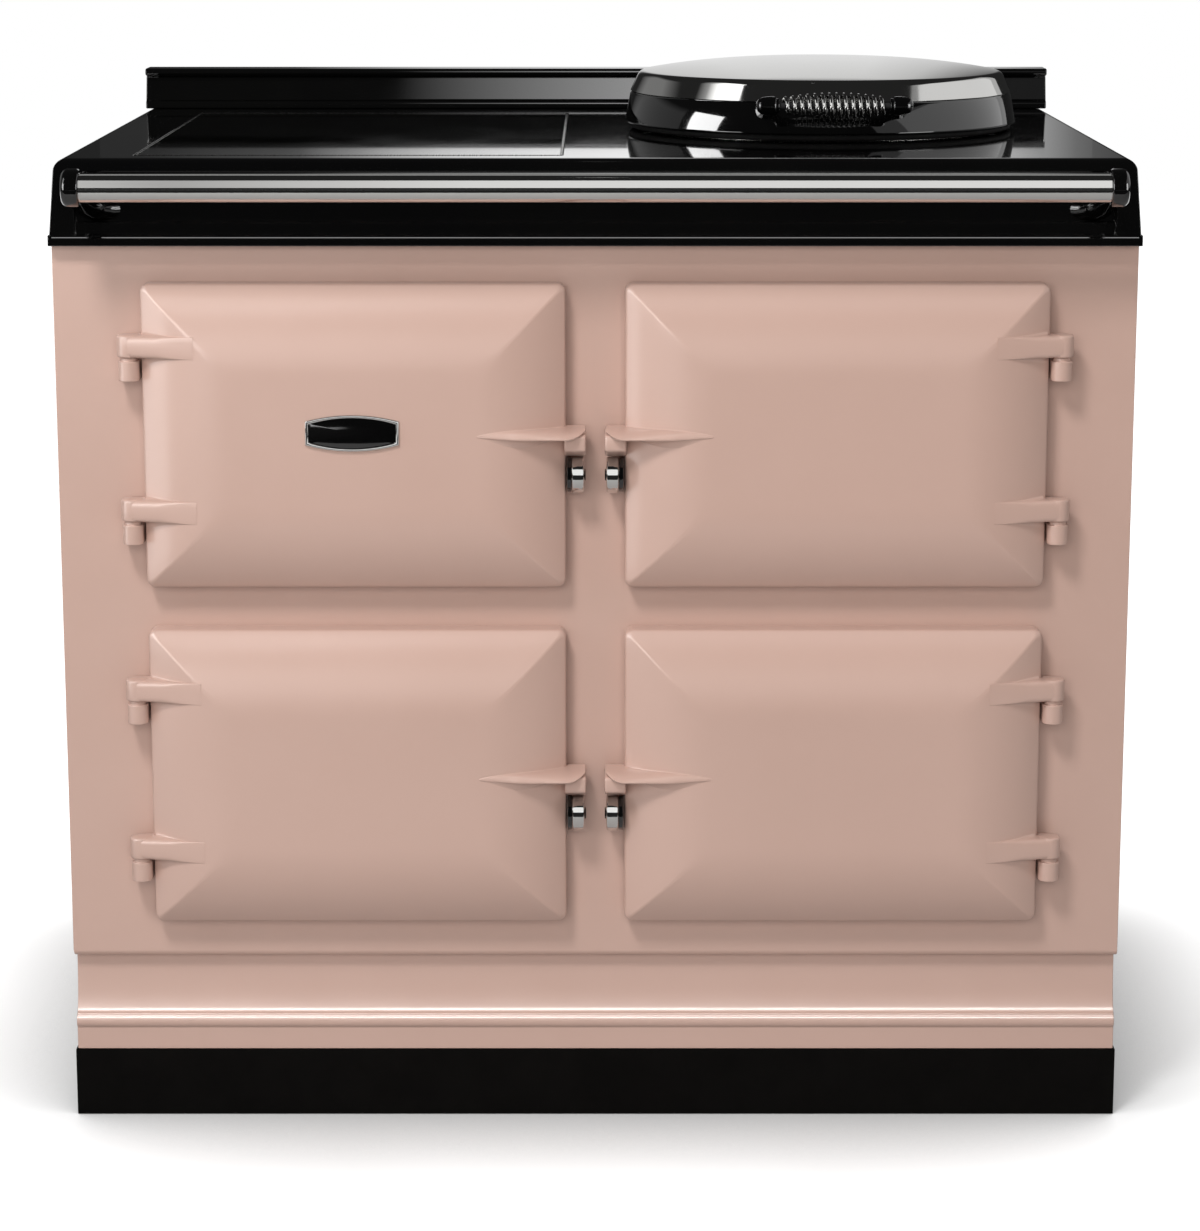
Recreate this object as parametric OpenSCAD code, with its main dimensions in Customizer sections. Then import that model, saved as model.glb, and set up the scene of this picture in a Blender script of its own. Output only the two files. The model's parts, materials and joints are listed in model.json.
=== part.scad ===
// Cast iron range cooker: four doors, an induction panel, one lidded hotplate and a hand rail.
// X runs to the right, Y to the back and Z up. The origin is under the middle of the cooker.
// Inside the modules Y is measured from the face of the front plate, and placed() moves it home.

/* [Body] */
// Width of the enamelled front plate
body_w = 987; // [970:1:1010]
// Depth from the face of the front plate to the back edge of the hob
body_d = 664; // [650:1:700]
// Height of the black plinth
plinth_h = 65; // [55:1:90]
// Height of the moulded base band above the plinth
moulding_h = 92; // [84:1:110]
// Height of the front plate
front_h = 674; // [670:1:690]
// Thickness of the cast front plate
front_t = 12; // [8:0.5:14]
// How far the side panels stand in from the ends of the front plate
side_inset = 1.5; // [0.5:0.5:3]
// Thickness of the side panels, the back panel and the plinth walls
sheet_t = 3; // [2:0.5:4]
// How far the back panel is set in, which leaves room for the supply cable
back_inset = 24; // [22:1:30]

/* [Base moulding] */
// How far the top of the cove lies behind the front plate
cove_depth = 12; // [8:1:16]
// Height of the flat lip at the foot of the moulding
lip_h = 20; // [14:1:24]
// Radius of the roll above the lip
roll_r = 7.5; // [5:0.5:9]
// Height of the straight band at the top of the moulding
cap_h = 8; // [4:1:12]

/* [Hob] */
// Height of the cast hob casing
hob_h = 79; // [76:1:90]
// Thickness of its top
hob_t = 10; // [8:1:14]
// How far its front edge stands in front of the front plate
hob_overhang = 12; // [8:1:20]
// How far its bottom lip stands out past the front plate at each end
hob_lip_out = 1.5; // [1:0.5:3]
// Height of that lip
hob_lip_h = 10; // [6:1:14]
// How far each end leans in towards the top
hob_lean = 6.5; // [4:0.5:9]
// Radius of the rolled top edge
hob_roll_r = 12; // [8:1:13]
// Thickness of the end cheeks that close the recess behind the rail
cheek_t = 18; // [14:1:24]
// Height of the rear upstand
upstand_h = 43; // [35:1:60]
// Thickness of the rear upstand
upstand_t = 36; // [30:1:40]

/* [Induction panel] */
// Width of the glass
glass_w = 386; // [370:1:396]
// Depth of the glass, front to back
glass_d = 532; // [500:1:540]
// Thickness of the glass
glass_t = 6; // [4:0.5:8]
// Distance of the glass from the middle of the cooker
glass_x = 225; // [222:1:228]
// Distance of the glass behind the front edge of the hob
glass_back = 39; // [36:1:45]
// Width of the bright trim round the glass
trim_w = 2.2; // [1.5:0.1:3]
// Width of the ledge that carries the glass
ledge_w = 14; // [10:1:18]
// Radius of each induction coil
coil_r = 95; // [80:1:105]

/* [Hotplate and lid] */
// Distance of the hotplate from the middle of the cooker
lid_x = 225; // [222:1:228]
// Distance of its centre behind the front edge of the hob
lid_back = 371; // [368:1:374]
// Radius of the iron hotplate
plate_r = 165; // [155:1:166]
// Width of the polished ring round the hotplate
ring_w = 8; // [6:1:9]
// Height that the ring and the hotplate stand above the hob
plate_rise = 4; // [3:0.5:5]
// Radius of the lid at its bottom edge
lid_r = 196; // [192:1:198]
// Gap under the bottom edge of the lid
lid_gap = 7; // [6:0.5:9]
// Height of the black band of the lid
band_h = 30; // [28:1:34]
// Height of the chrome bevel above the band
bevel_h = 20; // [16:1:22]
// How far the chrome top crowns above the bevel
crown_h = 13; // [8:1:15]
// How far the black band leans in
band_lean = 6; // [4:1:8]
// How far the chrome bevel leans in
bevel_lean = 9; // [6:1:12]
// Wall of the black band
band_wall = 8; // [6:1:10]
// Wall of the chrome cap
cap_wall = 3; // [2:0.5:4]
// Gap between the lid's back edge and its hinge axis
lid_hinge_back = 22; // [20:1:25]
// Height of the lid's hinge axis above the hob
lid_hinge_z = 20; // [18:1:23]
// Radius of the lid's hinge pin
lid_pin_r = 5; // [4:0.5:6]

/* [Lid handle] */
// Length of the coil between the posts
coil_len = 96; // [80:1:110]
// Number of turns
coil_turns = 14; // [8:1:16]
// Diameter of the wire
wire_d = 4; // [3:0.1:4.4]
// Outer diameter of the coil in the middle
coil_d_mid = 25; // [22:1:28]
// Outer diameter of the coil at its ends
coil_d_end = 17; // [16:0.5:20]
// Radius of the rod inside the coil
rod_r = 3; // [2:0.5:3.5]
// Width of each handle post
post_w = 22; // [16:1:26]
// Height of each handle post
post_h = 30; // [26:1:34]
// Finger room between the coil and the lid
finger_gap = 14; // [12:1:20]

/* [Hand rail] */
// Diameter of the rail
rail_d = 26; // [22:1:30]
// Length of the rail that is hidden in each end bracket
rail_bury = 8; // [5:1:12]
// Distance of the rail's centre in front of the front plate
rail_out = 78; // [75:1:85]
// Depth of the rail's centre line below the hob surface
rail_drop = 20; // [18:1:24]
// Width of each end bracket
rail_end_w = 16; // [14:1:22]
// Wall of each end bracket round the rail
rail_end_wall = 4; // [3:0.5:5]

/* [Doors] */
// Width of a door
door_w = 385; // [380:1:388]
// Height of a door
door_h = 280; // [276:1:286]
// Gap between the left and the right doors
door_gap_x = 54; // [52:1:58]
// Gap between the upper and the lower doors
door_gap_z = 40; // [36:1:50]
// Height of the lower doors' bottom edge above the front plate's bottom edge
door_rise = 41; // [34:1:44]
// Thickness of a door at its rim
rim_t = 19; // [16:1:22]
// How far the crown stands in front of the rim
crown_t = 28; // [24:1:32]
// Width of the bevels
bevel_w = 80; // [70:1:90]
// Corner radius of a door
door_r = 8; // [5:1:12]
// Gap between a closed door and the front plate
door_seal = 1; // [0.8:0.1:2]
// Wall of the door casting at its rim
door_wall = 14; // [12:1:16]
// Width of the openings in the front plate
open_w = 330; // [322:1:334]
// Height of the openings in the front plate
open_h = 225; // [218:1:230]
// Clearance between a door's inner panel and its opening
plug_gap = 6; // [5:1:9]
// Depth that a door's inner panel reaches behind the front plate's face
plug_d = 24; // [18:1:28]

/* [Door hinges] */
// Distance of the hinge axis outside the door's edge
hinge_out = 11; // [10.8:0.1:11.5]
// Distance of the hinge axis in front of the front plate
hinge_front = 22; // [21:0.5:24]
// Height of a hinge arm
arm_h = 20.5; // [18:0.5:23]
// Radius of the eye at the end of a hinge arm
eye_r = 10.5; // [9.5:0.1:10.6]
// Height of the upper arm above the middle of the door
arm_up = 84; // [76:1:90]
// Depth of the lower arm below the middle of the door
arm_down = 67; // [60:1:75]
// Length of an arm on the door
arm_in = 46; // [38:1:50]
// Radius of the hinge pins
hinge_pin_r = 5; // [4:0.5:6]
// Height of a hinge block
block_h = 18; // [14:1:22]
// Gap between an arm and the block under it
block_gap = 3.5; // [2:0.5:5]

/* [Door catches] */
// Length of the catch lug beyond the door's edge
lug_out = 18.5; // [17:0.5:19]
// Length of the catch lug on the door
lug_in = 74; // [60:1:78]
// How far the lug stands in front of the crown
lug_front = 3; // [2:0.5:5]
// Radius of the chrome catch roller
roller_r = 16.5; // [14:0.5:17]
// Width of the roller
roller_w = 11.2; // [9:0.2:11.6]
// Distance of the roller's axis in front of the front plate
roller_front = 20; // [19:0.5:22]
// Drop of the roller's axis below the middle of the door
roller_drop = 35; // [33:1:38]
// Radius of the roller's pin
roller_pin_r = 3; // [2.5:0.5:4]

/* [Ovens and controls] */
// Depth of an oven from the back of the front plate to its back wall
oven_d = 470; // [440:1:480]
// Wall of the cast oven liners
oven_wall = 8; // [5:0.5:10]
// Depth of an oven shelf
shelf_d = 380; // [340:1:390]
// Height of the shelf runners above the oven floor
runner_z = 95; // [80:1:110]
// Width of a shelf runner
runner_w = 8; // [6:0.5:10]
// Radius of the shelf wires
wire_r = 2.5; // [2:0.25:3]
// Depth of the control compartment
control_d = 110; // [95:1:140]
// Depth at which the control fascia lies behind the front plate's face
fascia_back = 62; // [58:1:70]
// Radius of a control knob
knob_r = 20; // [16:1:24]
// Length of a control knob
knob_l = 26; // [20:1:30]
// Distance between the control knobs
knob_pitch = 72; // [60:1:76]
// Radius of a knob's shaft
shaft_r = 3; // [2:0.5:4]

/* [Supply cable] */
// Radius of the hole in the cable gland
gland_bore_r = 8; // [6:0.5:10]
// Length of the cable gland
gland_l = 26; // [24:1:30]

/* [Hidden] */
$fn = 64;

// Fits: a seat between fixed pieces, and the radial clearance of a running shaft
seat = 0.3;
run = 0.05;
// Overlap that makes two shapes of one casting a single solid
bite = 1;

// Heights
moulding_z = plinth_h;
front_z = moulding_z + moulding_h;
hob_z = front_z + front_h;
hob_top = hob_z + hob_h;

// Depths, measured from the face of the front plate
rail_front = rail_out + rail_d / 2 + rail_end_wall;
front_y = (rail_front - body_d) / 2;
back_y = body_d - back_inset;
hob_front = -hob_overhang;
inner_y = front_t + seat;

// Widths
side_x = body_w / 2 - side_inset;
hob_half = body_w / 2 + hob_lip_out;
recess_half = hob_half - hob_lean - cheek_t;
rail_half = recess_half - seat - rail_end_w;

// Doors
door_cx = (door_w + door_gap_x) / 2;
lower_cz = front_z + door_rise + door_h / 2;
upper_cz = lower_cz + door_h + door_gap_z;
hinge_x = door_cx + door_w / 2 + hinge_out;
crown_y = -(door_seal + rim_t + crown_t);
rim_y = -(door_seal + rim_t);
bevel_r = (bevel_w * bevel_w + crown_t * crown_t) / (2 * crown_t);
// An eye whose wall carries the pin
pin_reach = 16;
// Outer and inner end of a catch roller, and the plate beside it
roller_x1 = door_gap_x / 2 - 5.6;
roller_x0 = roller_x1 - roller_w;
catch_plate_t = 4;
// Bottom of the lug's tongue, just over the roller
tongue_z = -roller_drop + roller_r + 0.5;

// Lid
lid_y = hob_front + lid_back;
lid_bottom = hob_top + lid_gap;
band_top = lid_bottom + band_h;
bevel_top = band_top + bevel_h;
band_top_r = lid_r - band_lean;
cap_r = band_top_r - bevel_lean;
crown_sphere_r = (cap_r * cap_r + crown_h * crown_h) / (2 * crown_h);
lid_axis_y = lid_y + lid_r + lid_hinge_back;
lid_axis_z = hob_top + lid_hinge_z;
handle_y = lid_y - lid_r - finger_gap + 2 - coil_d_mid / 2;
handle_z = band_top;

module placed() {
    translate([0, front_y, 0]) children();
}

// Extrudes a flat (x, z) shape from y0 to y1
module slab_y(y0, y1) {
    translate([0, y1, 0]) rotate([90, 0, 0]) linear_extrude(y1 - y0) children();
}

// Extrudes a flat (y, z) shape from x0 to x1
module slab_x(x0, x1) {
    translate([x0, 0, 0]) rotate([90, 0, 90]) linear_extrude(x1 - x0) children();
}

// A box given by its low and high corners
module block(low, high) {
    translate(low) cube([high[0] - low[0], high[1] - low[1], high[2] - low[2]]);
}

module round_rect(w, h, r) {
    square([w - 2 * r, h], center = true);
    square([w, h - 2 * r], center = true);
    for (sx = [-1, 1], sy = [-1, 1]) {
        translate([sx * (w / 2 - r), sy * (h / 2 - r)]) circle(r);
    }
}

// A cylinder along X between x0 and x1
module rod_x(x0, x1, r) {
    translate([x0, 0, 0]) rotate([0, 90, 0]) cylinder(h = x1 - x0, r = r);
}

// A cylinder along Y between y0 and y1
module rod_y(y0, y1, r) {
    translate([0, y1, 0]) rotate([90, 0, 0]) cylinder(h = y1 - y0, r = r);
}

// Centre of a door: side is -1 on the left and 1 on the right
function door_centre(side, upper) = [side * door_cx, 0, upper ? upper_cz : lower_cz];

// ---------- Base ----------

module plinth() {
    half = body_w / 2 + 0.5;
    color([0.055, 0.052, 0.048]) placed() difference() {
        block([-half, -1, 0], [half, back_y, plinth_h - seat]);
        block([-half + sheet_t, sheet_t - 1, -1], [half - sheet_t, back_y - sheet_t, plinth_h]);
    }
}

foot_r = 22;
foot_inset = 60;
module levelling_foot() {
    cylinder(h = 8, r = foot_r);
    translate([0, 0, 7]) cylinder(h = plinth_h - 7 - seat, r = 7);
    translate([0, 0, 14]) cylinder(h = 9, r = 13, $fn = 6);
}

module levelling_feet() {
    color([0.5, 0.5, 0.52]) placed() for (sx = [-1, 1], y = [foot_inset, back_y - foot_inset]) {
        translate([sx * (side_x - foot_inset), y, 0]) levelling_foot();
    }
}

base_t = 6;
base_inset = 0.3;
module base_frame() {
    half = side_x - sheet_t - base_inset;
    color([0.12, 0.12, 0.13]) placed() {
        block([-half, cove_depth + 8, plinth_h], [half, back_y - base_inset, plinth_h + base_t]);
    }
}

// The cove is a quarter of an ellipse between the cap band and the roll
cove_steps = 10;
roll_steps = 8;
roll_out = 3;
module moulding_profile() {
    cove_top = moulding_h - cap_h;
    cove_bottom = lip_h + 2 * roll_r;
    cove_h = cove_top - cove_bottom;
    back = cove_depth + 8 - seat;
    roll_turn = acos(1 - roll_out / roll_r);
    roll = [for (i = [0:roll_steps]) let (a = roll_turn * (2 * i / roll_steps - 1))
        [roll_r - roll_out - roll_r * cos(a), lip_h + roll_r + roll_r * sin(a)]];
    cove = [for (i = [0:cove_steps]) let (a = 90 * i / cove_steps)
        [cove_depth * sin(a), cove_bottom + cove_h * (1 - cos(a))]];
    polygon(concat([[back, 0], [0, 0]], roll, cove, [[cove_depth, moulding_h], [back, moulding_h]]));
}

module base_moulding() {
    color([0.76, 0.64, 0.58]) placed() translate([0, 0, moulding_z]) {
        slab_x(-side_x, side_x) moulding_profile();
    }
}

// ---------- Casing ----------

module front_plate() {
    color([0.76, 0.64, 0.58]) placed() slab_y(0, front_t) difference() {
        translate([-body_w / 2, front_z]) square([body_w, front_h]);
        for (side = [-1, 1], upper = [false, true]) {
            c = door_centre(side, upper);
            translate([c[0], c[2]]) round_rect(open_w, open_h, 10);
        }
    }
}

module side_panel(side) {
    low = side < 0 ? -side_x : side_x - sheet_t;
    color([0.76, 0.64, 0.58]) placed() difference() {
        block([low, front_t, plinth_h], [low + sheet_t, body_d, hob_z]);
        block([low - 1, front_t - 1, plinth_h - 1],
              [low + sheet_t + 1, cove_depth + 8, front_z]);
    }
}

module side_panel_left() {
    side_panel(-1);
}

module side_panel_right() {
    side_panel(1);
}

// Place of the gland: how far in from the side, and its height
gland_in = 132;
gland_x = -(side_x - gland_in);
gland_z = 150;
gland_r = gland_bore_r + 5;
// A row of vent slots under the hob
vent_count = 11;
vent_pitch = 60;
vent_w = 40;
vent_h = 8;
vent_drop = 71;
module back_panel() {
    half = side_x - sheet_t - seat;
    color([0.45, 0.46, 0.47]) placed() difference() {
        block([-half, back_y, plinth_h], [half, back_y + sheet_t, hob_z - seat]);
        translate([gland_x, back_y + sheet_t + 1, gland_z]) rotate([90, 0, 0]) {
            cylinder(h = sheet_t + 2, r = gland_r + seat);
        }
        for (i = [0:vent_count - 1]) {
            translate([(i - (vent_count - 1) / 2) * vent_pitch, 0, hob_z - vent_drop]) {
                slab_y(back_y - 1, back_y + sheet_t + 1) round_rect(vent_w, vent_h, vent_h / 2 - 0.1);
            }
        }
    }
}

module cable_gland() {
    y0 = back_y - 8;
    color([0.08, 0.08, 0.08]) placed() translate([gland_x, 0, gland_z]) difference() {
        union() {
            rod_y(y0, y0 + gland_l, gland_r);
            rod_y(back_y + sheet_t + seat, back_y + sheet_t + 7, gland_r + 5, $fn = 6);
            rod_y(back_y - 6, back_y - seat, gland_r + 5, $fn = 6);
        }
        rod_y(y0 - 1, y0 + gland_l + 1, gland_bore_r);
    }
}

// ---------- Hob ----------

// Outline of the hob seen from the front: a bottom lip, leaning ends and rolled top edges
lip_step = 1.5;
module hob_front_outline() {
    top_half = hob_half - hob_lean;
    lip_half = hob_half - lip_step;
    translate([-hob_half, 0]) square([2 * hob_half, hob_lip_h]);
    polygon([[-lip_half, hob_lip_h - bite], [lip_half, hob_lip_h - bite],
             [top_half, hob_h - hob_roll_r], [top_half - hob_roll_r, hob_h],
             [-top_half + hob_roll_r, hob_h], [-top_half, hob_h - hob_roll_r]]);
    for (s = [-1, 1]) {
        translate([s * (top_half - hob_roll_r), hob_h - hob_roll_r]) circle(hob_roll_r);
    }
}

// The hob seen from the side: a rolled front edge over the full depth
module hob_side_outline() {
    translate([hob_front, 0]) square([body_d + hob_overhang, hob_h - hob_roll_r]);
    translate([hob_front + hob_roll_r, 0]) square([body_d + hob_overhang - hob_roll_r, hob_h]);
    translate([hob_front + hob_roll_r, hob_h - hob_roll_r]) circle(hob_roll_r);
}

// The recess behind the rail, with one step that comes forward towards the bottom lip
recess_back = 2;
recess_drop = 24;
recess_step_h = 21;
recess_step_t = 6;
module rail_recess() {
    block([-recess_half, hob_front - 1, recess_step_h], [recess_half, recess_back, hob_h - recess_drop]);
    block([-recess_half, hob_front - 1, hob_lip_h],
          [recess_half, recess_back - recess_step_t, recess_step_h + bite]);
}

glass_y0 = hob_front + glass_back;
glass_y1 = glass_y0 + glass_d;
module hob_casing() {
    pocket_w = glass_w + 2 * trim_w + 2 * seat;
    pocket_y0 = glass_y0 - trim_w - seat;
    pocket_y1 = glass_y1 + trim_w + seat;
    inner_half = recess_half + 6;
    color([0.02, 0.02, 0.02]) placed() translate([0, 0, hob_z]) difference() {
        intersection() {
            slab_y(hob_front, body_d) hob_front_outline();
            slab_x(-hob_half - 1, hob_half + 1) hob_side_outline();
        }
        rail_recess();
        // Hollow underside
        block([-inner_half, recess_back + 10, -1], [inner_half, body_d - 14, hob_h - hob_t]);
        // Pocket and window for the glass
        block([-glass_x - pocket_w / 2, pocket_y0, hob_h - glass_t - seat],
              [-glass_x + pocket_w / 2, pocket_y1, hob_h + 1]);
        block([-glass_x - glass_w / 2 + ledge_w, glass_y0 + ledge_w, hob_h - hob_t - 2],
              [-glass_x + glass_w / 2 - ledge_w, glass_y1 - ledge_w, hob_h + 1]);
        // Hole for the hotplate
        translate([lid_x, lid_y, hob_h - hob_t - 2]) cylinder(h = hob_t + 4, r = plate_r + 5, $fn = 96);
    }
}

module upstand() {
    half = hob_half - hob_lean - 1;
    y0 = body_d - upstand_t;
    color([0.02, 0.02, 0.02]) placed() translate([0, 0, hob_top]) slab_x(-half, half) {
        translate([y0, 0]) square([upstand_t, 8]);
        translate([y0 + 3, 8 - bite]) square([upstand_t - 3, upstand_h - 16 + bite]);
        translate([y0, upstand_h - 10]) square([upstand_t, 5]);
        translate([y0 + 5, upstand_h - 5]) circle(5);
        translate([y0 + 5, upstand_h - 6]) square([upstand_t - 5, 6]);
    }
}

module hob_glass() {
    color([0.03, 0.03, 0.035]) placed() {
        block([-glass_x - glass_w / 2, glass_y0, hob_top - glass_t],
              [-glass_x + glass_w / 2, glass_y1, hob_top]);
    }
}

module glass_trim() {
    w = trim_w;
    color([0.75, 0.75, 0.76]) placed() difference() {
        block([-glass_x - glass_w / 2 - w, glass_y0 - w, hob_top - glass_t],
              [-glass_x + glass_w / 2 + w, glass_y1 + w, hob_top + 0.3]);
        block([-glass_x - glass_w / 2 - 0.1, glass_y0 - 0.1, hob_top - glass_t - 1],
              [-glass_x + glass_w / 2 + 0.1, glass_y1 + 0.1, hob_top + 1]);
    }
}

// Flat coils lie in a tray that hangs under the glass
tray_h = 40;
tray_wall = 2;
tray_top = hob_top - hob_t - seat;
module induction_tray() {
    half = glass_w / 2 - ledge_w + 6;
    y0 = glass_y0 + ledge_w - 6;
    y1 = glass_y1 - ledge_w + 6;
    color([0.6, 0.61, 0.62]) placed() difference() {
        block([-glass_x - half, y0, tray_top - tray_h], [-glass_x + half, y1, tray_top]);
        block([-glass_x - half + tray_wall, y0 + tray_wall, tray_top - tray_h + tray_wall],
              [-glass_x + half - tray_wall, y1 - tray_wall, tray_top + 1]);
    }
}

// A coil is a flat ring with a wider layer on top of it
coil_hole_r = 30;
coil_layer_t = 6;
coil_step = 6;
module induction_coils() {
    z = tray_top - tray_h + tray_wall + seat;
    color([0.72, 0.45, 0.2]) placed() for (f = [0.25, 0.75]) {
        translate([-glass_x, glass_y0 + glass_d * f, z]) rotate_extrude() {
            translate([coil_hole_r, 0]) square([coil_r - coil_hole_r, coil_layer_t]);
            translate([coil_hole_r - coil_step, coil_layer_t - bite]) {
                square([coil_r - coil_hole_r + 2 * coil_step, coil_layer_t - bite]);
            }
        }
    }
}

// Depth of the hotplate casting below the hob surface
plate_t = 18;
module hotplate() {
    color([0.16, 0.16, 0.165]) placed() translate([lid_x, lid_y, hob_top]) rotate_extrude($fn = 96) {
        translate([0, -plate_t]) square([plate_r - 1, plate_t + plate_rise]);
    }
}

module hotplate_ring() {
    outer = plate_r + ring_w;
    color([0.8, 0.8, 0.8]) placed() translate([lid_x, lid_y, hob_top]) rotate_extrude($fn = 96) {
        translate([plate_r - 1 + seat, seat]) square([outer - plate_r + 1 - seat, plate_rise - 1 - seat]);
        translate([plate_r - 1 + seat, seat - hob_t]) square([5 - seat, hob_t]);
    }
}

// ---------- Lid hinge ----------

ear_gap = 40;
ear_t = 8;
ear_r = lid_pin_r + 6;
module lid_hinge_bracket() {
    half = ear_gap / 2 + ear_t;
    color([0.03, 0.03, 0.03]) placed() translate([lid_x, lid_axis_y, 0]) difference() {
        union() {
            block([-half - 6, -ear_r, hob_top + seat], [half + 6, ear_r + 4, hob_top + 5]);
            for (x = [-half, ear_gap / 2]) {
                block([x, -ear_r, hob_top + 4], [x + ear_t, ear_r, lid_axis_z]);
                translate([0, 0, lid_axis_z]) rod_x(x, x + ear_t, ear_r);
            }
        }
        translate([0, 0, lid_axis_z]) rod_x(-half - 1, half + 1, lid_pin_r + run);
    }
}

module lid_hinge_pin() {
    half = ear_gap / 2 + ear_t;
    color([0.75, 0.75, 0.76]) placed() translate([lid_x, lid_axis_y, lid_axis_z]) {
        rod_x(-half - 1, half + 1, lid_pin_r);
        for (x = [-half - 3, half + seat]) {
            rod_x(x, x + 3 - seat, lid_pin_r + 2);
        }
    }
}

// ---------- Hand rail ----------

rail_z = hob_top - rail_drop;
module hand_rail() {
    half = rail_half + rail_bury;
    color([0.8, 0.8, 0.79]) placed() translate([0, -rail_out, rail_z]) difference() {
        rod_x(-half, half, rail_d / 2);
        rod_x(-half - 1, half + 1, rail_d / 2 - 2);
    }
}

// An end bracket holds the rail in a blind socket and stands on a foot in the recess
foot_reach = 26;
module rail_bracket() {
    socket_r = rail_d / 2 + rail_end_wall;
    x0 = rail_half;
    x1 = rail_half + rail_end_w;
    arm_top = hob_top - recess_drop - seat;
    difference() {
        union() {
            translate([0, -rail_out, rail_z]) rod_x(x0, x1, socket_r);
            block([x0, -rail_out, rail_z - socket_r], [x1, recess_back, arm_top]);
            block([x0 - foot_reach, -8, hob_z + recess_step_h + seat],
                  [x1, recess_back, rail_z - socket_r + bite]);
        }
        translate([0, -rail_out, rail_z]) rod_x(x0 - 1, x0 + rail_bury + seat, rail_d / 2 + seat);
    }
}

module rail_brackets() {
    color([0.02, 0.02, 0.02]) placed() {
        rail_bracket();
        mirror([1, 0, 0]) rail_bracket();
    }
}

// ---------- Door hinges and catches ----------

// Heights of the two hinge arms of a door, from the middle of the door
arm_heights = [arm_up, -arm_down];

// One block with its pin: the origin is on the hinge axis, level with the middle of the arm
module hinge_block() {
    arm_bottom = -arm_h / 2;
    top = arm_bottom - block_gap;
    r = eye_r - 1;
    translate([0, 0, top - block_h]) cylinder(h = block_h, r = r);
    block([-r, 0, top - block_h], [r, hinge_front, top]);
    translate([0, 0, top - bite]) cylinder(h = block_gap + bite - seat, r = hinge_pin_r + 2.5);
    translate([0, 0, top - bite]) cylinder(h = block_gap + bite + pin_reach - 1, r = hinge_pin_r);
}

module hinge_blocks() {
    color([0.76, 0.64, 0.58]) placed() for (side = [-1, 1], upper = [false, true], z = arm_heights) {
        translate([side * hinge_x, -hinge_front, door_centre(side, upper)[2] + z]) hinge_block();
    }
}

// A black cheek on the front plate with the roller's headed pin
module catch_bracket() {
    x0 = roller_x1 + seat;
    r = roller_r - 0.5;
    translate([0, -roller_front, 0]) {
        rod_x(x0, x0 + catch_plate_t, r);
        block([x0, 0, -r], [x0 + catch_plate_t, roller_front, r]);
        rod_x(roller_x0 - seat - 1, x0 + bite, roller_pin_r);
        rod_x(roller_x0 - seat - 1.2, roller_x0 - seat, roller_pin_r + 2.5);
    }
}

module catch_brackets() {
    color([0.03, 0.03, 0.03]) placed() for (side = [-1, 1], upper = [false, true]) {
        translate([0, 0, door_centre(side, upper)[2] - roller_drop]) {
            mirror([side < 0 ? 1 : 0, 0, 0]) catch_bracket();
        }
    }
}

module roller(side, upper) {
    color([0.82, 0.82, 0.8]) placed() {
        translate([0, -roller_front, door_centre(side, upper)[2] - roller_drop]) {
            mirror([side < 0 ? 1 : 0, 0, 0]) difference() {
                rod_x(roller_x0, roller_x1, roller_r);
                rod_x(roller_x0 - 1, roller_x1 + 1, roller_pin_r + run);
            }
        }
    }
}

module roller_upper_left() {
    roller(-1, true);
}

module roller_upper_right() {
    roller(1, true);
}

module roller_lower_left() {
    roller(-1, false);
}

module roller_lower_right() {
    roller(1, false);
}

// ---------- Doors ----------

// Cross-section of the pillow front: a rim, a curved bevel and a flat crown
module pillow_profile(w) {
    intersection() {
        translate([-w / 2, crown_y]) square([w, -door_seal - crown_y]);
        union() {
            for (s = [-1, 1]) {
                translate([s * (w / 2 - bevel_w), crown_y + bevel_r]) circle(bevel_r, $fn = 256);
            }
            translate([-w / 2 + bevel_w, crown_y]) square([w - 2 * bevel_w, -crown_y]);
        }
    }
}

// The same section cut both ways gives four bevels that meet in mitred ridges
module pillow(w, h) {
    intersection() {
        translate([0, 0, -h / 2]) linear_extrude(h) pillow_profile(w);
        slab_x(-w / 2, w / 2) mirror([1, 0, 0]) rotate(90) pillow_profile(h);
        slab_y(crown_y - 1, 0) round_rect(w, h, door_r);
    }
}

// A hinge arm of a right-hand door, level with z = 0, without its bore
eye_x = door_w / 2 + hinge_out;
module hinge_arm() {
    x_in = door_w / 2 - arm_in;
    y_in = crown_y + 4;
    translate([0, 0, -arm_h / 2]) linear_extrude(arm_h) {
        polygon([[x_in, rim_y + 4], [x_in, y_in], [eye_x, -hinge_front - eye_r],
                 [eye_x, -hinge_front + eye_r], [door_w / 2 - 2, rim_y + 12]]);
        translate([eye_x, -hinge_front]) circle(eye_r);
    }
    gusset_h = 9;
    slab_y(rim_y - 14, rim_y + 8) {
        polygon([[door_w / 2 - 1, -arm_h / 2 + bite], [door_w / 2 - 1, -arm_h / 2 - gusset_h],
                 [x_in + 4, -arm_h / 2 + bite]]);
    }
}

// The catch lug: a blade that runs out of the bevel, with a tongue that hangs over the roller
lug_h = 13;
module catch_lug() {
    edge = -door_w / 2;
    tip = edge - lug_out;
    inner = edge + lug_in;
    top = 8;
    slab_y(crown_y - lug_front, rim_y + 10) {
        polygon([[tip, tongue_z], [tip, top], [inner - 4, top], [inner, top - 2],
                 [inner - 4, top - 5], [edge + 10, top - lug_h], [edge - 1, top - lug_h],
                 [edge - 1, tongue_z]]);
    }
}

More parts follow.
